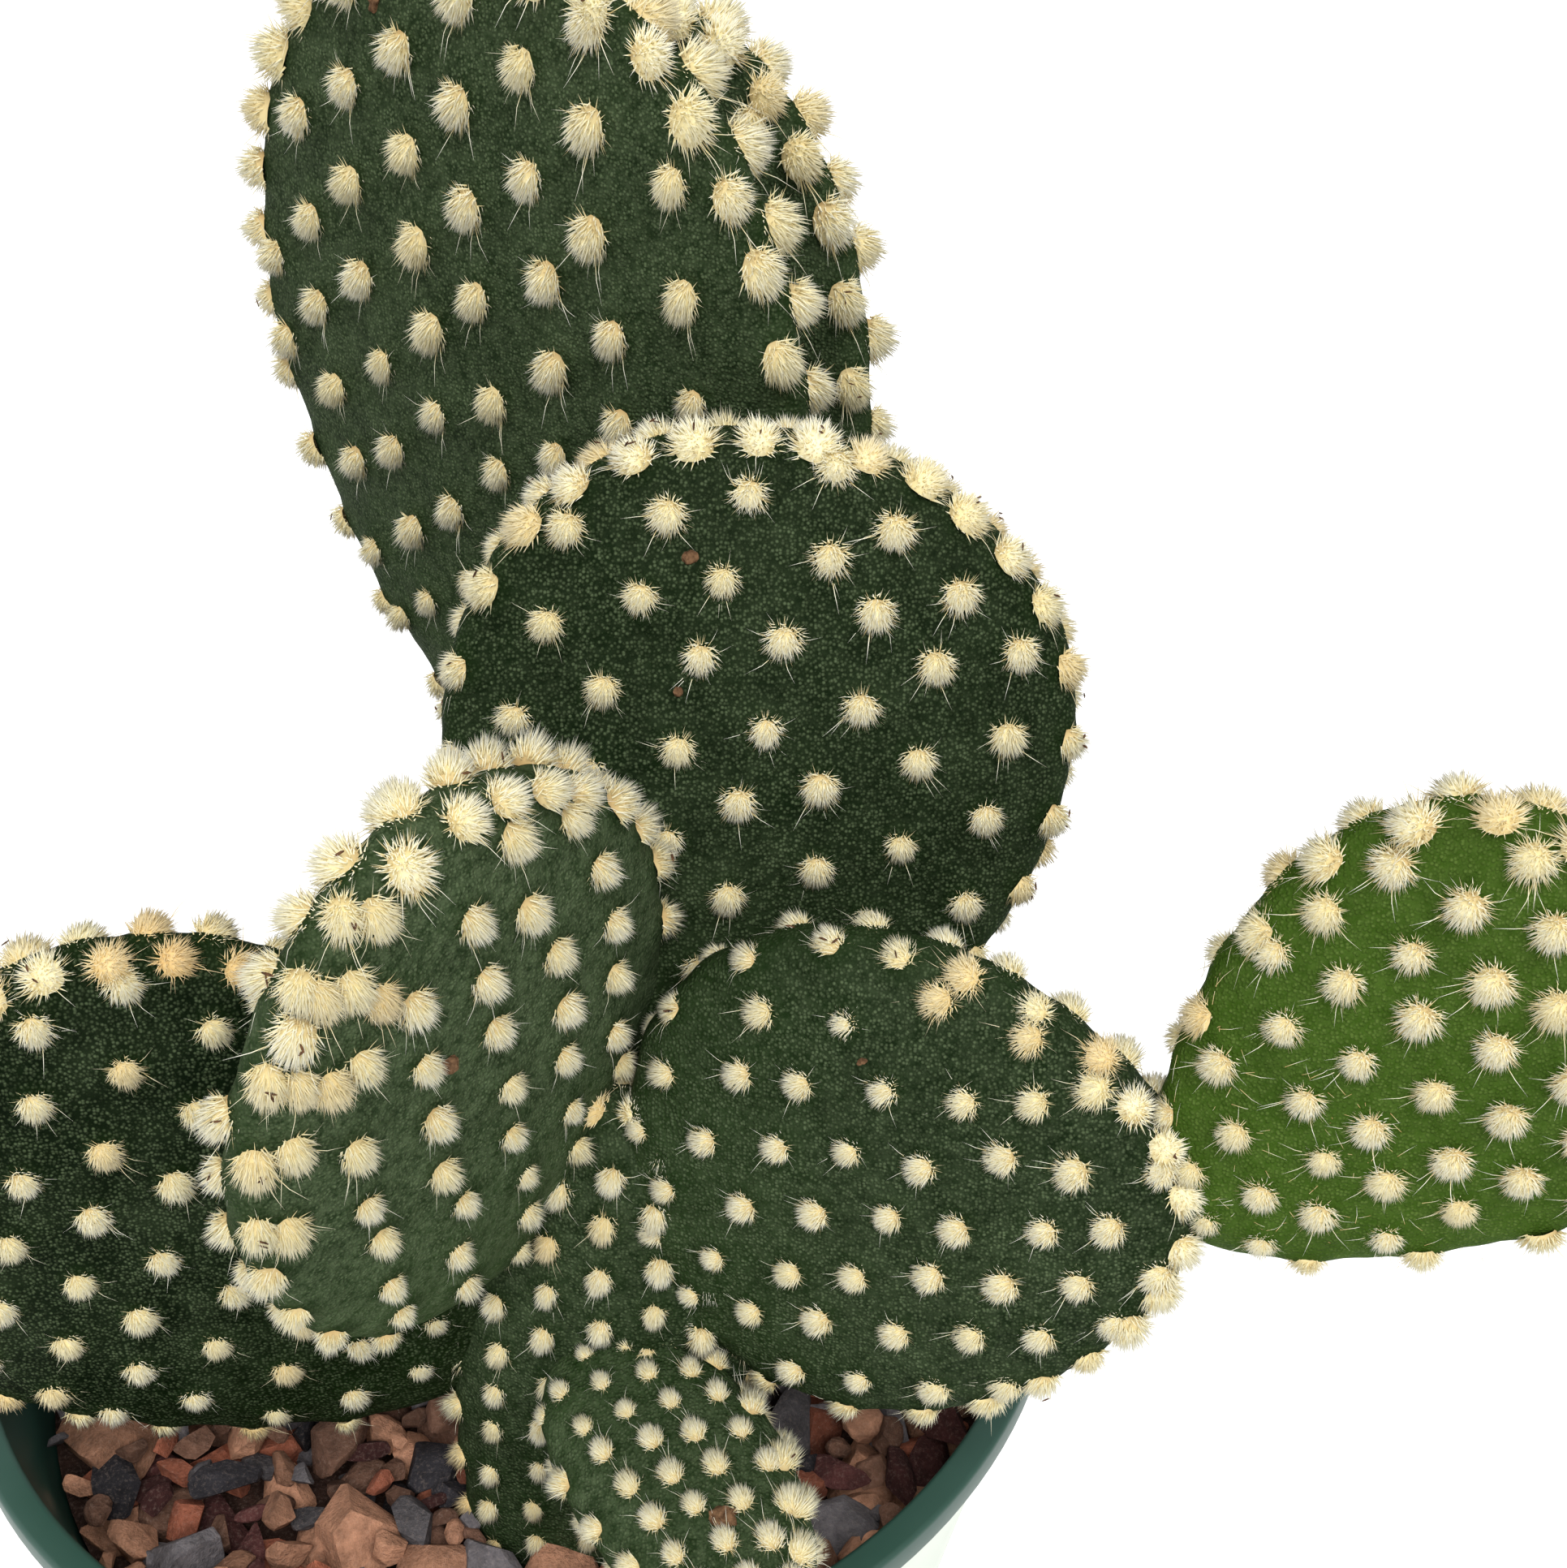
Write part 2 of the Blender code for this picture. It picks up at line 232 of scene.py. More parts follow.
# Scars: pad, share of length, share of half width, width and height.
SCABS = (
    ("left_front_pad", 0.66, -0.22, 1.5 * MM, 2.4 * MM),
    ("right_front_pad", 0.46, -0.60, 0.9 * MM, 1.0 * MM),
    ("small_front_pad", 0.72, -0.10, 1.9 * MM, 2.3 * MM),
    ("tall_left_pad", 0.93, -0.50, 1.1 * MM, 2.0 * MM),
    ("round_centre_pad", 0.80, -0.42, 1.0 * MM, 1.3 * MM),
    ("round_centre_pad", 0.62, -0.30, 0.8 * MM, 0.8 * MM),
)

# Where the random draws start. A pad adds its own number to the first.
SPOT_SEED = 100
HAIR_SEED = 500
CHIP_SEED = 31
STONE_SHAPE_SEED = 5
STONE_SEED = 77

# Drain holes: how many, their radius, and their distance from the middle.
DRAIN_HOLES = 4
DRAIN_RADIUS = 4 * MM
DRAIN_DISTANCE = 22 * MM

# Stones: the kinds and how common each is, the kinds that the large stones of the frame take in
# turn, how many of those there are, and how many different shapes the stones have.
STONE_KINDS = ("tan", "terracotta", "brown", "grey", "maroon", "charcoal")
STONE_SHARES = (0.26, 0.15, 0.24, 0.13, 0.14, 0.08)
LARGE_KINDS = ("tan", "terracotta", "maroon", "grey")
LARGE_STONES = 21
STONE_SHAPES = 20

# Layers of loose stones: smallest and largest size, tries, lowest and highest place over the bed,
# and how far apart they lie as a share of their sizes. Lengths in mm.
STONE_LAYERS = (
    (4.5, 7.5, 2500, -0.6, 0.8, 0.38),
    (3.2, 7.4, 4500, 2.0, 4.6, 0.41),
    (1.8, 3.2, 6000, 1.8, 5.0, 0.38),
)

# The camera: its place, its angle from straight down in degrees, its lens in mm.
CAMERA_PLACE = (0.0268, -0.1480, 0.2437)
CAMERA_ANGLE = 55.0
CAMERA_LENS = 48.0


# ---------------------------------------------------------------- settings


def length(name, description, default):
    """A length setting, in metres."""
    return bpy.props.FloatProperty(
        name=name, description=description, default=default, min=0.0, unit="LENGTH", precision=4,
    )


def share(name, description, default):
    """A setting from 0 to 1."""
    return bpy.props.FloatProperty(
        name=name, description=description, default=default, min=0.0, max=1.0, subtype="FACTOR",
    )


def count(name, description, default):
    """A whole number setting."""
    return bpy.props.IntProperty(name=name, description=description, default=default, min=0)


def colour(name, description, default):
    """A colour setting."""
    return bpy.props.FloatVectorProperty(
        name=name, description=description, default=default, size=3, min=0.0, max=1.0,
        subtype="COLOR",
    )


def strength(name, description, default):
    """The strength of a light."""
    return bpy.props.FloatProperty(name=name, description=description, default=default, min=0.0)


class PotSettings(bpy.types.PropertyGroup):
    """Sizes and colours of the pot."""

    height: length("Height", "Height of the pot", 88 * MM)
    lip_radius: length("Lip radius", "Radius over the lip", 54 * MM)
    lip_height: length("Lip height", "Height of the lip", 3 * MM)
    lip_overhang: length("Lip overhang", "How far the lip stands out", 1.2 * MM)
    base_radius: length("Base radius", "Radius of the underside", 36 * MM)
    wall: length("Wall", "Thickness of the wall", 1.6 * MM)
    floor: length("Floor", "Thickness of the floor", 2.4 * MM)
    edge: length("Edge", "Radius of the rounded edges", 0.5 * MM)
    green: colour("Green", "Colour of the lip and the inside", (0.020, 0.062, 0.045))
    # The pale colour of the outside is a painted highlight: strong light washing out the green plastic.
    wall_highlight_colour: colour("Wall", "Colour of the outside", (0.66, 0.71, 0.62))


class GravelSettings(bpy.types.PropertyGroup):
    """The soil, the bed and its stones."""

    below_rim: length("Below rim", "Depth of the bed under the rim", 15 * MM)
    bed_depth: length("Bed depth", "Depth of the gravel bed", 7 * MM)
    tan: colour("Tan", "Colour of the tan stones", (0.43, 0.215, 0.130))
    terracotta: colour("Terracotta", "Colour of the red stones", (0.32, 0.105, 0.060))
    maroon: colour("Maroon", "Colour of the dark red stones", (0.068, 0.024, 0.022))
    brown: colour("Brown", "Colour of the brown stones", (0.165, 0.085, 0.056))
    grey: colour("Grey", "Colour of the grey stones", (0.115, 0.105, 0.110))
    charcoal: colour("Charcoal", "Colour of the darkest stones", (0.028, 0.026, 0.030))
    grit: colour("Grit", "Colour of the grit under the stones", (0.085, 0.042, 0.030))
    soil: colour("Soil", "Colour of the potting soil", (0.030, 0.020, 0.013))


class PlantSettings(bpy.types.PropertyGroup):
    """The pads' skin and their tufts."""

    skin_dark: colour("Skin", "Main colour of the skin", (0.0040, 0.0110, 0.0026))
    skin_pale: colour("Dust", "Colour of the pale dots and dust", (0.092, 0.126, 0.064))
    skin_fresh: colour("Fresh skin", "Greener colour near a joint", (0.012, 0.028, 0.006))
    young_dark: colour("Young skin", "Main colour of the young pad", (0.026, 0.058, 0.005))
    young_pale: colour("Young dust", "Pale colour of the young pad", (0.090, 0.145, 0.030))
    dot_size: length("Dots", "Distance between the pebbles of the skin", 0.31 * MM)
    strays: count("Stray hairs", "Long hairs in a tuft", 6)
    hair_root: colour("Hair root", "Colour low in a tuft", (0.40, 0.24, 0.085))
    hair_middle: colour("Hair middle", "Colour half way up a tuft", (0.79, 0.70, 0.385))
    hair_warm: colour("Warm hair", "Colour of the warmest tufts", (0.68, 0.42, 0.15))
    hair_tip: colour("Hair tip", "Colour of the tips", (0.91, 0.90, 0.79))


class StageSettings(bpy.types.PropertyGroup):
    """Floor and light."""

    floor_colour: colour("Floor", "Colour of the floor", (0.90, 0.90, 0.90))
    key: strength("Key", "Strength of the main light", 2.9)
    fill: strength("Fill", "Strength of the weak light from the other side", 0.8)
    sky: share("Sky", "Strength of the even light", 0.50)


# ---------------------------------------------------------------- shared helpers


def finish_piece(bm, name, materials, replaces=(), smooth_angle=40.0):
    """Turn a bmesh into a piece of the object, at the origin and riding on the root."""
    mesh = bpy.data.meshes.new(name)
    bm.to_mesh(mesh)
    bm.free()
    mesh.shade_smooth()
    if smooth_angle is not None:
        mesh.set_sharp_from_angle(angle=math.radians(smooth_angle))
    for item in materials:
        mesh.materials.append(item)
    obj = bpy.data.objects.new(name, mesh)
    bpy.context.scene.collection.objects.link(obj)
    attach(obj, "root")
    if replaces:
        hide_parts(*replaces)
    return obj


def direction(angles):
    """Unit vector from a turn about +Z, measured from +X, and a rise, in degrees."""
    turn, rise = (math.radians(angle) for angle in angles)
    return Vector((math.cos(rise) * math.cos(turn), math.cos(rise) * math.sin(turn), math.sin(rise)))


def outer_radius(pot, height):
    """Radius of the outside of the pot's tapered wall at a height."""
    top = pot.lip_radius - pot.lip_overhang
    return pot.base_radius + (top - pot.base_radius) * height / pot.height


def inner_radius(pot, height):
    """Radius of the inside of the pot's wall at a height."""
    return outer_radius(pot, height) - pot.wall


def bed_top(scene):
    """Height of the top of the gravel bed."""
    return scene.cactus_pot.height - scene.cactus_gravel.below_rim


def soil_top(scene):
    """Height of the top of the soil."""
    return bed_top(scene) - scene.cactus_gravel.bed_depth - CLEARANCE


def aim(along):
    """Rotation that turns +Z to a direction."""
    return Vector((0.0, 0.0, 1.0)).rotation_difference(along).to_matrix()


# ---------------------------------------------------------------- node helpers


class Nodes:
    """Short ways to add and link shader nodes in one tree."""

    def __init__(self, tree):
        self.tree = tree

    def add(self, kind, inputs=None, **settings):
        """A new node with its settings and its inputs."""
        node = self.tree.nodes.new(kind)
        for key, value in settings.items():
            setattr(node, key, value)
        for key, value in (inputs or {}).items():
            self.put(node.inputs[key], value)
        return node

    def put(self, socket, value):
        """Link a socket to another one, or set its value."""
        if isinstance(value, bpy.types.NodeSocket):
            self.tree.links.new(value, socket)
        elif hasattr(value, "__len__") and len(value) == 3 and socket.type == "RGBA":
            socket.default_value = (*value, 1.0)
        else:
            socket.default_value = value

    def maths(self, operation, a, b):
        """What an operation makes of two values."""
        return self.add("ShaderNodeMath", {0: a, 1: b}, operation=operation).outputs[0]

    def product(self, first, *others):
        """All the values multiplied together."""
        for value in others:
            first = self.maths("MULTIPLY", first, value)
        return first

    def scaled(self, tint, factor):
        """A colour made lighter or darker."""
        inputs = {0: tint, "Scale": factor}
        return self.add("ShaderNodeVectorMath", inputs, operation="SCALE").outputs[0]

    def mix(self, factor, a, b):
        """A colour between two others."""
        return self.add("ShaderNodeMix", {0: factor, 6: a, 7: b}, data_type="RGBA").outputs[2]

    def span(self, value, low, high, to_low=0.0, to_high=1.0):
        """A value mapped from one span to another and kept inside it."""
        inputs = {0: value, 1: low, 2: high, 3: to_low, 4: to_high}
        return self.add("ShaderNodeMapRange", inputs, clamp=True).outputs[0]

    def noise(self, place, scale, detail, roughness):
        """Cloudy noise from 0 to 1."""
        inputs = {"Vector": place, "Scale": scale, "Detail": detail, "Roughness": roughness}
        return self.add("ShaderNodeTexNoise", inputs).outputs["Fac"]

    def attribute(self, name):
        """A value stored on the mesh."""
        return self.add("ShaderNodeAttribute", attribute_name=name).outputs["Fac"]

    def place(self):
        """The place on the object."""
        return self.add("ShaderNodeTexCoord").outputs["Object"]


def new_group(name, inputs, outputs):
    """A node group with named inputs and outputs, ready for its nodes."""
    group = bpy.data.node_groups.new(name, "ShaderNodeTree")
    for label, kind, default in inputs:
        socket = group.interface.new_socket(label, in_out="INPUT", socket_type=kind)
        socket.default_value = (*default, 1.0) if kind == "NodeSocketColor" else default
    for label, kind in outputs:
        group.interface.new_socket(label, in_out="OUTPUT", socket_type=kind)
    nodes = Nodes(group)
    start = nodes.add("NodeGroupInput")
    end = nodes.add("NodeGroupOutput")
    return nodes, start.outputs, end.inputs


def new_material(name, inputs):
    """A Principled material: the material, its node helper and its shader."""
    made = bpy.data.materials.new(name)
    made.use_nodes = True
    nodes = Nodes(made.node_tree)
    shader = made.node_tree.nodes["Principled BSDF"]
    for key, value in inputs.items():
        nodes.put(shader.inputs[key], value)
    return made, nodes, shader


def add_bump(nodes, shader, height, strength, distance):
    """Feed a height into the shader's normal."""
    inputs = {"Height": height, "Strength": strength, "Distance": distance}
    bump = nodes.add("ShaderNodeBump", inputs)
    nodes.put(shader.inputs["Normal"], bump.outputs["Normal"])


def skin_group():
    """Colour, roughness and height of the pebbled skin."""
    found = bpy.data.node_groups.get("pebbled skin")
    if found:
        return found
    nodes, given, out = new_group(
        "pebbled skin",
        (
            ("Dark", "NodeSocketColor", (0.03, 0.05, 0.03)),
            ("Pale", "NodeSocketColor", (0.12, 0.16, 0.10)),
            ("Fresh", "NodeSocketColor", (0.04, 0.09, 0.03)),
            ("Dot Size", "NodeSocketFloat", 0.36 * MM),
            ("Dust", "NodeSocketFloat", 0.5),
        ),
        (("Color", "NodeSocketColor"), ("Roughness", "NodeSocketFloat"), ("Height", "NodeSocketFloat")),
    )
    place = nodes.place()
    dust_and_painted_light = nodes.attribute("dust")
    broad = nodes.noise(place, 70.0, 4.0, 0.55)
    cloudy = nodes.noise(place, 240.0, 5.0, 0.65)
    frost = nodes.noise(place, 900.0, 5.0, 0.8)
    fine = nodes.noise(place, 2600.0, 3.0, 0.7)

    # The pebbles, with a pale dot on each.
    dots = nodes.add("ShaderNodeTexVoronoi", {
        "Vector": place, "Scale": nodes.maths("DIVIDE", 1.0, given["Dot Size"]), "Randomness": 0.85,
    })
    pebble = nodes.span(dots.outputs["Distance"], 0.60, 0.26)
    own = nodes.add("ShaderNodeSeparateColor", {"Color": dots.outputs["Color"]}).outputs["Red"]
    dot = nodes.product(
        pebble, nodes.span(own, 0.0, 0.9, 0.12, 1.0), nodes.span(cloudy, 0.25, 0.65, 0.45, 1.0),
        nodes.span(dust_and_painted_light, 0.0, 1.0, 0.75, 1.0),
    )

    # The green under them, fresher near the joint. The pad's dust value also scales it: painted shade
    # on the pads that lie in shadow, painted light on the lit ones.
    green = nodes.mix(nodes.span(nodes.attribute("along"), 0.45, 0.0), given["Dark"], given["Fresh"])
    shade = nodes.product(
        nodes.span(cloudy, 0.25, 0.75, 0.72, 1.28), nodes.span(dust_and_painted_light, 0.0, 1.0, 0.55, 1.5),
    )
    dotted = nodes.mix(dot, nodes.scaled(green, shade), given["Pale"])

    # Patches of dust on every pad, and fine dust all over a dusty one.
    patches = nodes.product(
        nodes.span(broad, 0.40, 0.66), nodes.span(cloudy, 0.35, 0.62), given["Dust"], 0.35,
    )
    film = nodes.product(dust_and_painted_light, nodes.span(frost, 0.40, 0.62, 0.10, 0.62))
    dusty = nodes.mix(nodes.maths("ADD", patches, film), dotted, given["Pale"])

    # Plain skin round each tuft, fresher skin along the rim.
    ring = nodes.product(nodes.span(nodes.attribute("near"), 2.4, 1.2), 0.55)
    ringed = nodes.mix(ring, dusty, nodes.mix(0.5, given["Fresh"], given["Dark"]))
    rim = nodes.product(nodes.span(nodes.attribute("edge"), 0.93, 1.0), 0.35)

    nodes.put(out["Color"], nodes.mix(rim, ringed, given["Fresh"]))
    nodes.put(out["Roughness"], nodes.span(cloudy, 0.3, 0.7, 0.52, 0.70))
    nodes.put(out["Height"], nodes.maths("ADD", pebble, nodes.product(fine, 0.5)))
    return nodes.tree


def skin_material(kind):
    """Skin of an old or a young pad."""
    name = f"skin_{kind}"
    if name in bpy.data.materials:
        return bpy.data.materials[name]
    plant = bpy.context.scene.cactus_plant
    dark, pale, fresh, dust = {
        "old": (plant.skin_dark, plant.skin_pale, plant.skin_fresh, 0.35),
        "young": (plant.young_dark, plant.young_pale, plant.young_dark, 0.15),
    }[kind]
    made, nodes, shader = new_material(name, {
        "Specular IOR Level": 0.02, "Subsurface Weight": 0.04,
        "Subsurface Radius": (0.3, 0.9, 0.2), "Subsurface Scale": 1.0 * MM,
    })
    inputs = {"Dark": dark, "Pale": pale, "Fresh": fresh, "Dot Size": plant.dot_size, "Dust": dust}
    skin = nodes.add("ShaderNodeGroup", inputs, node_tree=skin_group())
    nodes.put(shader.inputs["Base Color"], skin.outputs["Color"])
    nodes.put(shader.inputs["Roughness"], skin.outputs["Roughness"])
    add_bump(nodes, shader, skin.outputs["Height"], 0.7, 0.16 * MM)
    return made


def tuft_material(kind):
    """Cream hairs: tan at the root, whitish at the tip, some tufts warmer."""
    name = f"tufts_{kind}"
    if name in bpy.data.materials:
        return bpy.data.materials[name]
    plant = bpy.context.scene.cactus_plant
    made, nodes, shader = new_material(name, {"Specular IOR Level": 0.15})
    tip = nodes.attribute("tip")
    tone = nodes.attribute("tone")
    lower = nodes.mix(nodes.span(tip, 0.0, 0.55), plant.hair_root, plant.hair_middle)
    upper = nodes.mix(nodes.span(tip, 0.42, 0.9), lower, plant.hair_tip)
    warm = nodes.mix(nodes.span(tone, 0.4, 1.0, 0.0, 0.42), upper, plant.hair_middle)
    warm = nodes.mix(nodes.span(tone, 0.9, WARMEST, 0.0, 0.70), warm, plant.hair_warm)
    nodes.put(shader.inputs["Base Color"], warm)
    nodes.put(shader.inputs["Roughness"], nodes.span(tip, 0.0, 1.0, 0.9, 0.65))
    return made


# ---------------------------------------------------------------- the plant


class Pad:
    """Place, directions and shape of one flat pad."""

    def __init__(self, base, values):
        self.base = Vector(base)
        self.length = values["length"]
        self.width = values["width"]
        self.thickness = values["thickness"]
        self.swell = values["swell"]
        self.pitch = values["pitch"]
        self.tuft = values["tuft"]
        self.skin = values.get("skin", "old")
        self.dust = values.get("dust", 0.5)
        self.stretch = values.get("stretch", 1.0)
        self.tone = values.get("tone", 0.0)
        self.clusters = values.get("clusters", ())
        self.along = direction(values["grows"])
        facing = direction(values["faces"])
        self.out = (facing - self.along * facing.dot(self.along)).normalized()
        self.across = self.along.cross(self.out)

    def half_width(self, share):
        """Half the pad's width at a share of its length."""
        cosine = 1.0 - 2.0 * share
        return 0.5 * self.width * math.sqrt(max(1.0 - cosine ** 2, 0.0)) * (1.0 - self.swell * cosine)

    def half_depth(self, share):
        """Half the pad's thickness on its middle line at a share of its length."""
        cosine = 1.0 - 2.0 * share
        sine = math.sqrt(max(1.0 - cosine ** 2, 0.0))
        return 0.5 * self.thickness * sine ** PAD_EDGE_POWER

    def share_at(self, height):
        """The share of the length at which the middle of the pad is at a height."""
        return (height - self.base.z) / (self.length * self.along.z)

    def point(self, share, side, out):
        """A point by share of the length, share of the half width, and distance out of the middle."""
        place = self.base + self.along * (share * self.length)
        return place + self.across * (side * self.half_width(share)) + self.out * out

    def on_face(self, share, side, front):
        """A point of the front (1) or back (-1) face."""
        depth = self.half_depth(share) * max(1.0 - side * side, 0.0) ** (0.5 * PAD_SECTION_POWER)
        return self.point(share, side, front * depth)

    def face_normal(self, share, side, front):
        """Outward normal of a face at a point."""
        step = 0.01
        across = self.on_face(share, side + step, front) - self.on_face(share, side - step, front)
        along = self.on_face(share + step, side, front) - self.on_face(share - step, side, front)
        normal = across.cross(along).normalized()
        return normal if normal.dot(self.out) * front > 0.0 else -normal

    def rim_normal(self, share, side):
        """Outward normal of the outline at a share of the length, on one side."""
        step = 0.004
        low = self.point(max(share - step, 0.0), side, 0.0)
        high = self.point(min(share + step, 1.0), side, 0.0)
        tangent = (high - low).normalized()
        normal = tangent.cross(self.out).normalized()
        middle = self.point(0.5, 0.0, 0.0)
        return normal if normal.dot(self.point(share, side, 0.0) - middle) > 0.0 else -normal

    def surface_point(self, unit):
        """Where a point of the unit sphere goes on the pad, with its share along and its side."""
        cosine = max(-1.0, min(1.0, -unit.z))
        sine = math.sqrt(max(1.0 - cosine ** 2, 0.0))
        side = -unit.x / sine if sine > 1e-9 else 0.0
        face = unit.y / sine if sine > 1e-9 else 0.0
        share = 0.5 * (1.0 - cosine)
        depth = self.half_depth(share) * math.copysign(abs(face) ** PAD_SECTION_POWER, face)
        return self.point(share, side, depth), share, side


def build_pads(scene):
    """Every pad's place and shape."""
    pads = {}
    start = soil_top(scene) - ROOTED_DEPTH
    for name, values in ROOTED_PADS.items():
        pads[name] = Pad((*values["place"], start), values)
    for name, values in GROWN_PADS.items():
        parent = pads[values["parent"]]
        along, side, out = values["joint"]
        if "above_lip" in values:
            along = parent.share_at(scene.cactus_pot.height + values["above_lip"])
        pads[name] = Pad(parent.point(along, side, out), values)
    return pads


def tuft_size(pad, along, rng):
    """Radius of a tuft: larger towards the pad's far end."""
    return pad.tuft * rng.uniform(0.9, 1.1) * (0.80 + 0.36 * along)


def tuft_tone(pad, rng):
    """Warmth of a tuft's colour."""
    return rng.random() * 0.8 + pad.tone


def face_tufts(pad, rng):
    """Tufts in staggered lines along both faces: place, normal, radius, tone."""
    found = []
    across_step, along_step = pad.pitch
    widest = max(pad.half_width(0.05 * step) for step in range(21))
    lines = int(widest / across_step) + 1
    for front in (1, -1):
        start = rng.uniform(-0.5, 0.0)
        shift = rng.uniform(-0.25, 0.25)
        for line in range(-lines, lines + 1):
            for step in range(int(pad.length / along_step) + 2):
                y = (step + start + 0.5 * (line % 2)) * along_step
                y += rng.gauss(0.0, TUFT_JITTER) * along_step
                along = y / pad.length
                if not LINE_ENDS[0] < along < LINE_ENDS[1]:
                    continue
                half = pad.half_width(along)
                fan = 0.72 + 0.28 * half / widest
                x = (line + shift) * across_step * fan + rng.gauss(0.0, TUFT_JITTER) * across_step
                margin = FOOT_MARGIN if along < 0.5 else TOP_MARGIN
                if abs(x) > half - margin * across_step:
                    continue
                side = x / half
                found.append((
                    pad.on_face(along, side, front), pad.face_normal(along, side, front),
                    tuft_size(pad, along, rng), tuft_tone(pad, rng),
                ))
    return found


def beside_rim(pad, along, edge, lean):
    """Place and normal of a tuft at the rim. The more it leans, the further in it is set."""
    front = 1 if lean > 0.0 else -1
    outward = pad.rim_normal(along, edge)
    inset = pad.point(along, edge, 0.0) - outward * (RIM_INSET + LEAN_INSET * abs(lean)) - pad.base
    share = inset.dot(pad.along) / pad.length
    side = max(-0.99, min(0.99, inset.dot(pad.across) / pad.half_width(share)))
    normal = outward + pad.face_normal(share, side, front) * abs(lean)
    return pad.on_face(share, side, front), normal.normalized()


def rim_tufts(pad, rng):
    """Tufts along the rim, closer and larger towards the far end, leaning to each face in turn."""
    found = []
    for edge in (1, -1):
        place = None
        travelled = 0.0
        gap = 0.0
        row = 1
        for step in range(RIM_STEPS):
            angle = math.pi * (RIM_START + (1.0 - RIM_START) * step / RIM_STEPS)
            along = 0.5 * (1.0 - math.cos(angle))
            spot = pad.point(along, edge, 0.0)
            if place is not None:
                travelled += (spot - place).length
            place = spot
            if travelled < gap:
                continue
            travelled = 0.0
            gap = pad.tuft * (2.6 - 1.25 * along) * rng.uniform(0.85, 1.15)
            row = -row
            lean = row * (0.15 + 0.45 * along) + rng.uniform(-0.15, 0.3)
            radius = tuft_size(pad, along, rng) * (1.02 + 0.16 * along)
            tone = tuft_tone(pad, rng) + 0.3 * (1.0 - pad.dust)
            found.append((*beside_rim(pad, along, edge, lean), radius, tone))
    return found


def cluster_tufts(pad, rng):
    """Groups of tufts that have grown into one another, warmer in colour."""
    found = []
    for along, side, number in pad.clusters:
        middle = 0.5 * (number - 1)
        for index in range(number):
            reach = side + (index - middle) * CLUSTER_STEP / pad.half_width(along)
            reach = max(-0.97, min(0.97, reach))
            where = along + rng.uniform(-0.9, 0.9) * MM / pad.length
            where -= CLUSTER_SLOPE * (reach - side)
            found.append((
                pad.on_face(where, reach, 1), pad.face_normal(where, reach, 1),
                pad.tuft * rng.uniform(1.1, 1.32), rng.uniform(0.75, 1.2),
            ))
    return found


def pad_spots(pad, number):
    """Every tuft of a pad, the same for its skin and its hairs."""
    rng = random.Random(SPOT_SEED + number)
    grouped = cluster_tufts(pad, rng)
    single = [
        spot for spot in face_tufts(pad, rng) + rim_tufts(pad, rng)
        if all((spot[0] - other[0]).length > CLUSTER_CLEARANCE for other in grouped)
    ]
    return grouped + single


def keep_as_mesh(bm, name):
    """Store a small shape for copying."""
    mesh = bpy.data.meshes.new(name)
    bm.to_mesh(mesh)
    bm.free()
    return mesh


def new_hair_mesh():
    """An empty bmesh with the two values that colour a hair."""
    bm = bmesh.new()
    bm.verts.layers.float.new("tip")
    bm.verts.layers.float.new("tone")
    return bm


def spike(bm, root, way, size, width, shades):
    """One fine three-sided hair, standing on its root, shaded from root to tip."""
    tip = bm.verts.layers.float["tip"]
    stand = Matrix.Translation(root + way * (0.5 * size)) @ aim(way).to_4x4()
    made = bmesh.ops.create_cone(
        bm, cap_ends=False, segments=3, radius1=width, radius2=0.0, depth=size, matrix=stand,
    )["verts"]
    low, high = shades
    for vert in made:
        vert[tip] = low + (high - low) * min(1.0, (vert.co - root).length / size)


def clump_shape(rng, number):
    """A clump of hairs of about unit length, to be set side by side in a tuft."""
    bm = new_hair_mesh()
    for index in range(CLUMP_HAIRS):
        reach = math.sqrt((index + 0.5) / CLUMP_HAIRS)
        angle = index * GOLDEN_ANGLE + rng.uniform(-0.3, 0.3)
        sideways = Vector((math.cos(angle), math.sin(angle), 0.0))
        way = Vector((rng.gauss(0.0, 0.12), rng.gauss(0.0, 0.12), 1.0)) + sideways * (0.22 * reach)
        shades = (rng.uniform(0.20, 0.55), rng.uniform(0.75, 1.0))
        size = rng.uniform(0.86, 1.10)
        spike(bm, sideways * (0.5 * reach), way.normalized(), size, CLUMP_WIDTH, shades)
    return keep_as_mesh(bm, f"clump_{number}")


def fringe_shape(rng, number):
    """A fan of short tan hairs that stands out sideways from the foot of a tuft."""
    bm = new_hair_mesh()
    for _ in range(FRINGE_HAIRS):
        angle = rng.uniform(-0.62, 0.62)
        way = Vector((math.sin(angle), math.cos(angle), rng.uniform(0.15, 0.75))).normalized()
        shades = (rng.uniform(0.0, 0.2), rng.uniform(0.35, 0.75))
        spike(bm, way * 0.45, way, rng.uniform(0.52, 0.86), FRINGE_WIDTH, shades)
    return keep_as_mesh(bm, f"fringe_{number}")


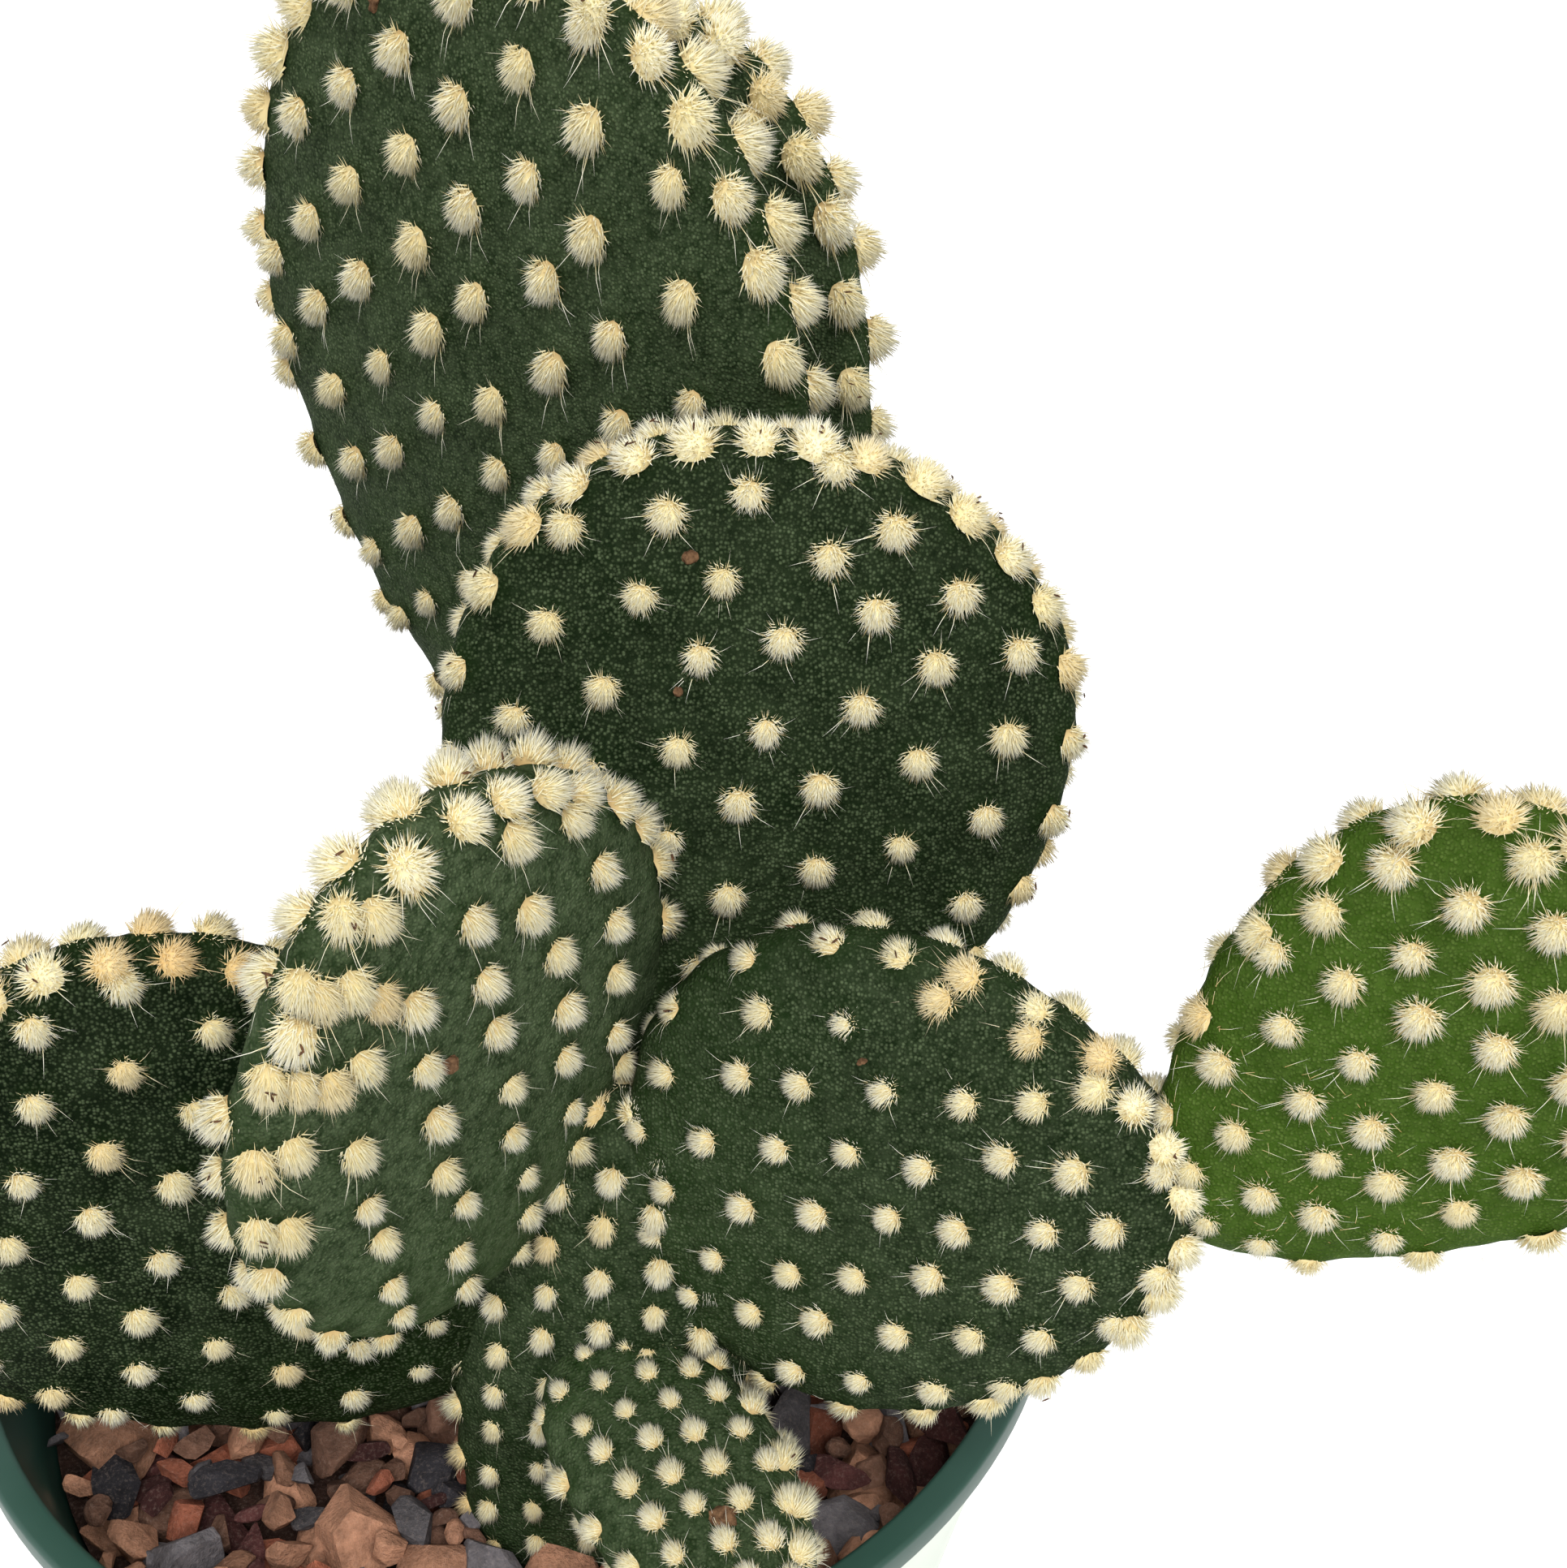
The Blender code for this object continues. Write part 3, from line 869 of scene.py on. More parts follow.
def stray_shape(rng, number):
    """One long bent hair of unit length, rising and then leaning over towards +Y."""
    bm = new_hair_mesh()
    tip = bm.verts.layers.float["tip"]
    bmesh.ops.create_circle(bm, cap_ends=False, segments=3, radius=STRAY_WIDTH)
    edges = list(bm.edges)
    place = Vector()
    heading = Vector((rng.gauss(0.0, 0.15), 0.45, 1.0)).normalized()
    bend = Vector((rng.gauss(0.0, 0.22), rng.uniform(-0.1, 0.5), rng.uniform(-0.6, 0.0)))
    joints = 2
    for joint in range(1, joints + 1):
        grown = bmesh.ops.extrude_edge_only(bm, edges=edges)["geom"]
        verts = [item for item in grown if isinstance(item, bmesh.types.BMVert)]
        edges = [item for item in grown if isinstance(item, bmesh.types.BMEdge)]
        heading = (heading + bend / joints).normalized()
        bmesh.ops.translate(bm, verts=verts, vec=heading / joints)
        place += heading / joints
        left = 0.7 if joint < joints else 0.12
        for vert in verts:
            vert.co = place + (vert.co - place) * left
            vert[tip] = 0.6 + 0.4 * joint / joints
    bmesh.ops.recalc_face_normals(bm, faces=bm.faces)
    return keep_as_mesh(bm, f"stray_{number}")


def core_shape():
    """The low dome that fills the middle of a tuft."""
    bm = new_hair_mesh()
    tip = bm.verts.layers.float["tip"]
    bmesh.ops.create_icosphere(bm, subdivisions=2, radius=1.0)
    bmesh.ops.bisect_plane(
        bm, geom=list(bm.verts) + list(bm.edges) + list(bm.faces), plane_co=(0.0, 0.0, -0.1),
        plane_no=(0.0, 0.0, -1.0), clear_outer=True, dist=1e-5,
    )
    for vert in bm.verts:
        vert[tip] = 0.30 + 0.25 * max(vert.co.z, 0.0) - 0.22 * vert.co.y
    return keep_as_mesh(bm, "core")


class TuftMaker:
    """Makes tufts, no two alike, from a few small clumps of hairs."""

    def __init__(self, plant, seed):
        self.rng = random.Random(seed)
        self.plant = plant
        self.clumps = [clump_shape(self.rng, number) for number in range(CLUMP_SHAPES)]
        self.fringes = [fringe_shape(self.rng, number) for number in range(FRINGE_SHAPES)]
        self.strays = [stray_shape(self.rng, number) for number in range(STRAY_SHAPES)]
        self.core = core_shape()

    def place(self, bm, shape, matrix):
        """Copy a stored shape into a bmesh at a place."""
        before = len(bm.verts)
        bm.from_mesh(shape)
        bm.verts.ensure_lookup_table()
        bmesh.ops.transform(bm, verts=bm.verts[before:], matrix=matrix)

    def add_clumps(self, made, form, hair, comb):
        """Rings of clumps over the dome, the outer ones tilted more."""
        rng = self.rng
        for number, tilt, low in form["rings"]:
            start = rng.uniform(0.0, math.tau)
            for index in range(number):
                turn = start + math.tau * index / number + rng.uniform(-0.15, 0.15)
                lean = math.radians(tilt) + rng.gauss(0.0, 0.07)
                sideways = Vector((math.cos(turn), math.sin(turn), 0.0))
                outward = sideways * math.sin(lean) + Vector((0.0, 0.0, math.cos(lean)))
                root = Vector([a * b * 0.74 for a, b in zip(outward, form["core"])])
                way = (outward + Vector((0.0, -comb, form["upright"]))).normalized()
                size = hair * rng.uniform(0.88, 1.14) * low
                stand = Matrix.Translation(root) @ aim(way).to_4x4()
                stand = stand @ Matrix.Rotation(rng.uniform(0.0, math.tau), 4, "Z")
                stand = stand @ Matrix.Diagonal((form["spread"], form["spread"], size, 1.0))
                self.place(made, rng.choice(self.clumps), stand)

    def add_fringe(self, made, number):
        """Fans of short hairs all round the foot."""
        rng = self.rng
        for index in range(number):
            turn = math.tau * (index + rng.uniform(-0.3, 0.3)) / number
            self.place(made, rng.choice(self.fringes), Matrix.Rotation(turn, 4, "Z"))

    def add_strays(self, made):
        """Long hairs: every other one hangs down, the rest are shorter and point anywhere."""
        rng = self.rng
        for index in range(self.plant.strays):
            angle = rng.gauss(math.pi, 0.8) if index % 2 else rng.uniform(0.0, math.tau)
            reach = rng.uniform(1.0, 1.7) if index % 2 else rng.uniform(0.7, 1.1)
            stand = Matrix.Rotation(angle, 4, "Z") @ Matrix.Translation((0.0, 0.6, 0.15))
            stand = stand @ Matrix.Rotation(-rng.uniform(0.2, 0.85), 4, "X")
            self.place(made, rng.choice(self.strays), stand @ Matrix.Scale(reach, 4))

    def add_loose_hairs(self, made):
        """Hairs that lie on the skin near the tuft."""
        rng = self.rng
        for _ in range(LOOSE_HAIRS):
            stand = Matrix.Rotation(rng.uniform(0.0, math.tau), 4, "Z")
            stand = stand @ Matrix.Translation((0.0, rng.uniform(1.0, 1.9), 0.1))
            stand = stand @ Matrix.Rotation(rng.uniform(0.0, math.tau), 4, "Z")
            stand = stand @ Matrix.Rotation(-1.1, 4, "X")
            self.place(made, rng.choice(self.strays), stand @ Matrix.Scale(rng.uniform(0.7, 1.3), 4))

    def tuft(self, bm, spot, pad):
        """Add one tuft, its hairs combed towards the pad's foot."""
        place, normal, radius, tone = spot
        form = TUFT_FORMS[pad.skin]
        upward = pad.along - normal * pad.along.dot(normal)
        hair = form["hair"] * min(1.0, math.sqrt(LONG_HAIR_RADIUS / radius))
        made = new_hair_mesh()
        self.place(made, self.core, Matrix.Diagonal((*form["core"], 1.0)))
        self.add_clumps(made, form, hair, form["comb"] * upward.length)
        self.add_fringe(made, form["fringes"])
        self.add_strays(made)
        share = (place - pad.base).dot(pad.along) / pad.length
        if pad.skin == "young" and share < LOOSE_REACH:
            self.add_loose_hairs(made)
        upward = upward.normalized() if upward.length > 1e-6 else pad.across
        lean = (normal - upward * form["hang"] * pad.stretch).normalized()
        side = upward.cross(lean).normalized()
        turn = Matrix((side, lean.cross(side), lean)).transposed().to_4x4()
        tall = radius * self.rng.uniform(0.95, 1.12) * pad.stretch
        shape = Matrix.Diagonal((radius / pad.stretch ** 0.6, radius * pad.stretch ** 0.4, tall, 1.0))
        stand = Matrix.Translation(place) @ turn @ shape
        bmesh.ops.transform(made, verts=made.verts, matrix=stand)
        layer = made.verts.layers.float["tone"]
        for vert in made.verts:
            vert[layer] = tone
        mesh = keep_as_mesh(made, "tuft")
        bm.from_mesh(mesh)
        bpy.data.meshes.remove(mesh)

    def done(self):
        """Throw the stored shapes away."""
        for mesh in (*self.clumps, *self.fringes, *self.strays, self.core):
            bpy.data.meshes.remove(mesh)


def build_tufts(name, pad, spots, maker):
    """All the tufts of one pad."""
    bm = new_hair_mesh()
    for spot in spots:
        maker.tuft(bm, spot, pad)
    obj = finish_piece(bm, f"tufts_{name}", [tuft_material(pad.skin)], smooth_angle=None)
    map_by_colour(obj.data)


def map_by_colour(mesh):
    """Lay every hair on the map by its tone across and its height up."""
    corners = np.empty(len(mesh.loops), dtype=np.int32)
    mesh.loops.foreach_get("vertex_index", corners)
    values = {}
    for name in ("tip", "tone"):
        found = np.empty(len(mesh.vertices), dtype=np.float32)
        mesh.attributes[name].data.foreach_get("value", found)
        values[name] = found[corners]
    apart = np.arange(len(corners)) % 3
    places = np.empty((len(corners), 2), dtype=np.float32)
    places[:, 0] = 0.03 + 0.90 * values["tone"] / WARMEST + 0.012 * apart
    places[:, 1] = 0.02 + 0.94 * values["tip"] + 0.012 * (apart == 2)
    mesh.uv_layers.new(name="OFBake").data.foreach_set("uv", places.ravel())


def build_skin(name, pad, spots):
    """One pad's skin, gently uneven and swollen a little under each tuft."""
    bm = bmesh.new()
    along = bm.verts.layers.float.new("along")
    near = bm.verts.layers.float.new("near")
    edge = bm.verts.layers.float.new("edge")
    dust = bm.verts.layers.float.new("dust")
    bmesh.ops.create_uvsphere(
        bm, u_segments=SKIN_SEGMENTS[0], v_segments=SKIN_SEGMENTS[1], radius=1.0,
    )
    tree = kdtree.KDTree(len(spots))
    for index, (place, _, _, _) in enumerate(spots):
        tree.insert(place, index)
    tree.balance()
    for vert in bm.verts:
        vert.co, vert[along], side = pad.surface_point(vert.co.copy())
        vert[edge] = abs(side)
        # Its dust value, which the skin also uses as painted light and painted shade on the green.
        vert[dust] = pad.dust
    bm.normal_update()
    bmesh.ops.recalc_face_normals(bm, faces=bm.faces)
    bm.normal_update()
    moves = []
    for vert in bm.verts:
        distance = tree.find(vert.co)[2] / MM
        vert[near] = distance
        rise = SWELLING * math.exp(-(distance / SWELLING_REACH) ** 2)
        rise += sum(height * noise.noise(vert.co * waves) for height, waves in UNEVENNESS)
        moves.append(vert.normal * (rise * MM))
    for vert, move in zip(bm.verts, moves):
        vert.co += move
    finish_piece(bm, f"skin_{name}", [skin_material(pad.skin)], (name,), None)


def chip_material(name, dark, pale):
    """Dry plant matter: brown, mottled and rough."""
    made, nodes, shader = new_material(name, {"Roughness": 0.9, "Specular IOR Level": 0.1})
    mottle = nodes.noise(nodes.place(), 1800.0, 4.0, 0.7)
    nodes.put(shader.inputs["Base Color"], nodes.mix(nodes.span(mottle, 0.35, 0.65), dark, pale))
    add_bump(nodes, shader, mottle, 0.8, 0.1 * MM)
    return made


def stand_on(place, normal, forward, size):
    """A matrix that stands a unit shape on a surface, with its length turned by an angle."""
    turn = aim(normal).to_4x4() @ Matrix.Rotation(forward, 4, "Z")
    return Matrix.Translation(place) @ turn @ Matrix.Diagonal((*size, 1.0))


def build_chips(pads):
    """Dry brown chips caught in the tufts along the rims."""
    rng = random.Random(CHIP_SEED)
    bm = bmesh.new()
    for index, (name, pad) in enumerate(pads.items()):
        spots = [spot for spot in pad_spots(pad, index) if abs(spot[1].dot(pad.out)) < 0.8]
        for place, normal, radius, _ in rng.sample(spots, min(CHIPS.get(name, 0), len(spots))):
            for _ in range(rng.randint(1, 2)):
                way = normal + pad.out * rng.uniform(0.2, 1.3) + pad.along * rng.uniform(-0.3, 0.7)
                way.normalize()
                size = (rng.uniform(0.22, 0.55) * MM, rng.uniform(0.07, 0.13) * MM, 0.07 * MM)
                stand = stand_on(place + way * radius * 1.02, way, rng.uniform(0.0, 3.0), size)
                bmesh.ops.create_icosphere(bm, subdivisions=1, radius=1.0, matrix=stand)
    material = chip_material("dry_chip", (0.030, 0.016, 0.010), (0.14, 0.07, 0.035))
    finish_piece(bm, "dry_chips", [material])


def build_scabs(pads):
    """A few corky brown scars on the skin."""
    bm = bmesh.new()
    for name, along, side, width, tall in SCABS:
        pad = pads[name]
        place = pad.on_face(along, side, 1)
        normal = pad.face_normal(along, side, 1)
        size = (0.5 * tall, 0.5 * width, 0.45 * MM)
        stand = stand_on(place + normal * 0.12 * MM, normal, 0.4, size)
        made = bmesh.ops.create_icosphere(bm, subdivisions=3, radius=1.0, matrix=stand)["verts"]
        for vert in made:
            rough = 0.45 * noise.noise(vert.co * 1400.0) + 0.25 * noise.noise(vert.co * 3500.0)
            vert.co += (vert.co - place) * rough
    material = chip_material("scab", (0.055, 0.028, 0.014), (0.19, 0.105, 0.055))
    finish_piece(bm, "scabs", [material])


class CACTUS_OT_pads(bpy.types.Operator):
    """Build the pads' skins"""

    bl_idname = "cactus.pads"
    bl_label = "Pads"

    def execute(self, context):
        for number, (name, pad) in enumerate(build_pads(context.scene).items()):
            build_skin(name, pad, pad_spots(pad, number))
        return {"FINISHED"}


class CACTUS_OT_tufts(bpy.types.Operator):
    """Build the tufts of hairs on every pad"""

    bl_idname = "cactus.tufts"
    bl_label = "Tufts"

    def execute(self, context):
        maker = TuftMaker(context.scene.cactus_plant, HAIR_SEED)
        for number, (name, pad) in enumerate(build_pads(context.scene).items()):
            build_tufts(name, pad, pad_spots(pad, number), maker)
        maker.done()
        return {"FINISHED"}


class CACTUS_OT_marks(bpy.types.Operator):
    """Build the dry chips in the tufts and the scars on the skin"""

    bl_idname = "cactus.marks"
    bl_label = "Chips and scars"

    def execute(self, context):
        pads = build_pads(context.scene)
        build_chips(pads)
        build_scabs(pads)
        return {"FINISHED"}


# ---------------------------------------------------------------- pot and fill


def pot_material():
    """Dark green plastic on the lip and inside; the pale outside is a painted highlight, the strong
    light washing out the green wall.
    """
    pot = bpy.context.scene.cactus_pot
    made, nodes, shader = new_material("pot_plastic", {"Specular IOR Level": 0.45})
    place = nodes.place()
    outside = nodes.attribute("outside")
    grain = nodes.noise(place, 900.0, 4.0, 0.6)
    smear = nodes.noise(place, 45.0, 4.0, 0.6)
    green = nodes.mix(nodes.span(smear, 0.35, 0.75, 0.0, 0.35), pot.green, (0.05, 0.11, 0.09))
    # The pale outside, a painted highlight, with smears.
    wall = nodes.mix(nodes.span(smear, 0.3, 0.8, 0.0, 0.5), pot.wall_highlight_colour, (0.56, 0.62, 0.54))
    nodes.put(shader.inputs["Base Color"], nodes.mix(nodes.span(outside, 0.45, 0.55), green, wall))
    nodes.put(shader.inputs["Roughness"], nodes.span(smear, 0.2, 0.8, 0.34, 0.50))
    add_bump(nodes, shader, grain, 0.25, 0.05 * MM)
    return made


def stone_material(name, tint):
    """Rough stone: a mottled tint, darker pits, a little dust."""
    made, nodes, shader = new_material(f"stone_{name}", {"Specular IOR Level": 0.15})
    place = nodes.place()
    mottle = nodes.noise(place, 420.0, 6.0, 0.72)
    grain = nodes.noise(place, 2600.0, 4.0, 0.75)
    level = nodes.product(
        nodes.span(nodes.attribute("tone"), 0.0, 1.0, 0.50, 1.45),
        nodes.span(mottle, 0.3, 0.7, 0.50, 1.40), nodes.span(grain, 0.3, 0.7, 0.78, 1.20),
    )
    dust = nodes.product(nodes.span(grain, 0.52, 0.72), 0.30)
    dusty = nodes.mix(dust, nodes.scaled(tint, level), (0.30, 0.23, 0.19))
    nodes.put(shader.inputs["Base Color"], dusty)
    nodes.put(shader.inputs["Roughness"], nodes.span(mottle, 0.3, 0.7, 0.62, 0.9))
    add_bump(nodes, shader, nodes.maths("ADD", grain, nodes.product(mottle, 2.0)), 0.9, 0.35 * MM)
    return made


def pot_section(pot):
    """The pot's section as (radius, height), from the underside over the lip to the floor."""
    lip_bottom = pot.height - pot.lip_height
    return (
        (0.0, 0.0),
        (pot.base_radius, 0.0),
        (outer_radius(pot, lip_bottom), lip_bottom),
        (pot.lip_radius, lip_bottom),
        (pot.lip_radius, pot.height),
        (inner_radius(pot, pot.height), pot.height),
        (inner_radius(pot, pot.floor), pot.floor),
        (0.0, pot.floor),
    )


def build_pot(pot):
    """The pot turned from its section, its edges rounded and its outside marked for its pale painted
    highlight.
    """
    bm = bmesh.new()
    outside = bm.verts.layers.float.new("outside")
    verts = [bm.verts.new((radius, 0.0, height)) for radius, height in pot_section(pot)]
    edges = [bm.edges.new(pair) for pair in zip(verts, verts[1:])]
    bmesh.ops.spin(
        bm, geom=verts + edges, cent=(0.0, 0.0, 0.0), axis=(0.0, 0.0, 1.0),
        angle=math.tau, steps=144, use_merge=True, use_duplicate=False,
    )
    bmesh.ops.remove_doubles(bm, verts=bm.verts, dist=0.01 * MM)
    bmesh.ops.recalc_face_normals(bm, faces=bm.faces)
    sharp = [
        edge for edge in bm.edges
        if len(edge.link_faces) == 2 and edge.calc_face_angle(0.0) > math.radians(30)
        and abs(edge.verts[0].co.z - edge.verts[1].co.z) < 1e-6
    ]
    bmesh.ops.bevel(
        bm, geom=sharp, offset=pot.edge, offset_type="OFFSET", segments=4, profile=0.5,
        affect="EDGES", material=-1, clamp_overlap=True,
    )
    for vert in bm.verts:
        radius = math.hypot(vert.co.x, vert.co.y)
        wall = outer_radius(pot, vert.co.z)
        below = vert.co.z < pot.height - pot.lip_height - 0.01 * MM
        vert[outside] = 1.0 if below and radius > wall - 0.4 * pot.wall else 0.0
    return finish_piece(bm, "pot_shell", [pot_material()], ("pot",), 35.0)


def cut_drain_holes(obj, pot):
    """Round holes through the floor."""
    for index in range(DRAIN_HOLES):
        turn = math.tau * (index + 0.5) / DRAIN_HOLES
        place = (DRAIN_DISTANCE * math.cos(turn), DRAIN_DISTANCE * math.sin(turn), 0.5 * pot.floor)
        bm = bmesh.new()
        bmesh.ops.create_cone(
            bm, cap_ends=True, segments=40, radius1=DRAIN_RADIUS, radius2=DRAIN_RADIUS,
            depth=3 * pot.floor, matrix=Matrix.Translation(place),
        )
        drill = bpy.data.objects.new(f"drill_{index}", keep_as_mesh(bm, f"drill_{index}"))
        bpy.context.scene.collection.objects.link(drill)
        cut = obj.modifiers.new(f"drain_{index}", "BOOLEAN")
        cut.operation = "DIFFERENCE"
        cut.object = drill
        with bpy.context.temp_override(object=obj, active_object=obj):
            bpy.ops.object.modifier_apply(modifier=cut.name)
        bpy.data.objects.remove(drill, do_unlink=True)


class CACTUS_OT_pot(bpy.types.Operator):
    """Build the pot"""

    bl_idname = "cactus.pot"
    bl_label = "Pot"

    def execute(self, context):
        pot = context.scene.cactus_pot
        cut_drain_holes(build_pot(pot), pot)
        return {"FINISHED"}


def random_way(rng):
    """A vector that points anywhere."""
    return Vector((rng.gauss(0, 1), rng.gauss(0, 1), rng.gauss(0, 1)))


def stone_shape(bm, rng):
    """A unit stone: a ball cut down by random planes to a lump with flat faces."""
    bmesh.ops.create_icosphere(bm, subdivisions=2, radius=0.56)
    for _ in range(rng.randint(8, 12)):
        way = random_way(rng).normalized()
        cut = bmesh.ops.bisect_plane(
            bm, geom=list(bm.verts) + list(bm.edges) + list(bm.faces),
            plane_co=way * rng.uniform(0.24, 0.42), plane_no=way, clear_outer=True, dist=1e-5,
        )
        rim = [item for item in cut["geom_cut"] if isinstance(item, bmesh.types.BMEdge)]
        if rim:
            bmesh.ops.holes_fill(bm, edges=rim, sides=0)


def stone_library():
    """A few different stones as meshes, their edges a little worn."""
    rng = random.Random(STONE_SHAPE_SEED)
    shapes = []
    for index in range(STONE_SHAPES):
        bm = bmesh.new()
        stone_shape(bm, rng)
        bmesh.ops.dissolve_limit(bm, angle_limit=0.30, verts=bm.verts, edges=bm.edges)
        sharp = [e for e in bm.edges if len(e.link_faces) == 2 and e.calc_face_angle(0.0) > 0.3]
        bmesh.ops.bevel(
            bm, geom=sharp, offset=0.028, offset_type="OFFSET", segments=1, profile=0.5,
            affect="EDGES", material=-1, clamp_overlap=True,
        )
        bmesh.ops.triangulate(bm, faces=bm.faces)
        for vert in bm.verts:
            lump = noise.noise(vert.co * 4.0 + Vector((index, 0.0, 0.0)))
            vert.co += vert.co.normalized() * (0.05 * lump)
        bmesh.ops.recalc_face_normals(bm, faces=bm.faces)
        shapes.append(keep_as_mesh(bm, f"stone_shape_{index}"))
    return shapes


def scatter_stones(scene, rng):
    """Where the stones lie: place, size, kind, nodes. The large ones of the frame come first."""
    pot = scene.cactus_pot
    top = bed_top(scene)
    reach = inner_radius(pot, top)
    stones = []
    for number in range(1, LARGE_STONES + 1):
        node = f"stone_{number:02d}"
        low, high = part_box(node)
        middle = [(a + b) / 2 for a, b in zip(low, high)]
        size = max(high[0] - low[0], high[1] - low[1])
        kind = LARGE_KINDS[(number * 3) % len(LARGE_KINDS)]
        middle[2] = top + rng.uniform(2.2, 4.0) * MM
        stones.append((Vector(middle), size, kind, (node,)))
    for low, high, tries, sink, rise, apart in STONE_LAYERS:
        before = [] if sink < 0.0 else [stone for stone in stones if stone[0].z > top + 1.0 * MM]
        for _ in range(tries):
            size = rng.uniform(low, high) * MM
            radius = (reach - 0.5 * size) * math.sqrt(rng.random())
            angle = rng.uniform(0.0, math.tau)
            height = top + rng.uniform(sink, rise) * MM
            place = Vector((radius * math.cos(angle), radius * math.sin(angle), height))
            if all(
                math.hypot(place.x - other.x, place.y - other.y) > apart * (size + width)
                for other, width, _, _ in before
            ):
                kind = rng.choices(STONE_KINDS, STONE_SHARES)[0]
                before.append((place, size, kind, ()))
                stones.append((place, size, kind, ()))
    return stones


def build_gravel(kind, tint, stones, shapes, rng):
    """The stones of one kind as one piece, which stands for the large ones among them."""
    bm = bmesh.new()
    tone = bm.verts.layers.float.new("tone")
    stood_for = []
    long, thin = (1.7, 0.55) if kind == "maroon" else (1.3, 0.85)
    for place, size, own_kind, nodes in stones:
        if own_kind != kind:
            continue
        stood_for += nodes
        before = len(bm.verts)
        bm.from_mesh(rng.choice(shapes))
        bm.verts.ensure_lookup_table()
        verts = bm.verts[before:]
        turn = Matrix.Rotation(rng.uniform(0, math.tau), 4, random_way(rng))
        flat = Matrix.Rotation(rng.uniform(0, math.tau), 4, "Z")
        flat = flat @ Matrix.Rotation(rng.gauss(0.0, 0.35), 4, "X")
        shape = Matrix.Diagonal((long * size, size * rng.uniform(0.8, 1.1), thin * size, 1.0))
        bmesh.ops.transform(bm, verts=verts, matrix=Matrix.Translation(place) @ flat @ shape @ turn)
        shade = rng.random()
        for vert in verts:
            vert[tone] = shade
    finish_piece(bm, f"gravel_{kind}", [stone_material(kind, tint)], stood_for, 30.0)


def build_bed(scene):
    """The dark grit under the loose stones, and the soil."""
    pot = scene.cactus_pot
    gravel = scene.cactus_gravel
    middle = soil_top(scene)
    top = bed_top(scene) - 1.0 * MM
    for name, node, low, high, slot, tint in (
        ("grit", "gravel_bed", middle + CLEARANCE, top, "gravel_mixed", gravel.grit),
        ("potting_soil", "soil", pot.floor + CLEARANCE, middle, "potting_soil", gravel.soil),
    ):
        bm = bmesh.new()
        bmesh.ops.create_cone(
            bm, cap_ends=True, segments=96, radius1=inner_radius(pot, low) - CLEARANCE,
            radius2=inner_radius(pot, high) - CLEARANCE, depth=high - low,
            matrix=Matrix.Translation((0.0, 0.0, 0.5 * (low + high))),
        )
        bm.verts.layers.float.new("tone")
        finish_piece(bm, name, [stone_material(name, tint)], (node,), 40.0)


class CACTUS_OT_gravel(bpy.types.Operator):
    """Build the stones and the bed they lie on"""

    bl_idname = "cactus.gravel"
    bl_label = "Gravel"

    def execute(self, context):
        scene = context.scene
        rng = random.Random(STONE_SEED)
        shapes = stone_library()
        stones = scatter_stones(scene, rng)
        for kind in STONE_KINDS:
            build_gravel(kind, getattr(scene.cactus_gravel, kind), stones, shapes, rng)
        for mesh in shapes:
            bpy.data.meshes.remove(mesh)
        build_bed(scene)
        return {"FINISHED"}


# ---------------------------------------------------------------- stage


def new_floor(stage):
    """A pale floor, glowing a little so that it stays even."""
    bm = bmesh.new()
    bmesh.ops.create_grid(bm, x_segments=1, y_segments=1, size=6.0)
    mesh = keep_as_mesh(bm, "floor")
    mesh.materials.append(new_material("floor_white", {
        "Roughness": 0.9, "Base Color": stage.floor_colour,
        "Emission Color": (1.0, 1.0, 1.0), "Emission Strength": 0.22,
    })[0])
    return bpy.data.objects.new("floor", mesh)


def new_light(name, energy, way, spread):
    """A soft light that comes from one direction, spread over an angle in degrees."""
    lamp = bpy.data.lights.new(name, "SUN")
    lamp.energy = energy
    lamp.angle = math.radians(spread)
    light = bpy.data.objects.new(name, lamp)
    light.rotation_euler = Vector(way).to_track_quat("Z", "Y").to_euler()
    return light


def new_camera():
    """A camera in front of the pot, looking down at it."""
    lens = bpy.data.cameras.new("camera")
    lens.lens = CAMERA_LENS
    lens.sensor_width = 36.0
    lens.clip_start = 0.01
    camera = bpy.data.objects.new("camera", lens)
    camera.location = CAMERA_PLACE
    camera.rotation_euler = (math.radians(CAMERA_ANGLE), 0.0, 0.0)
    return camera


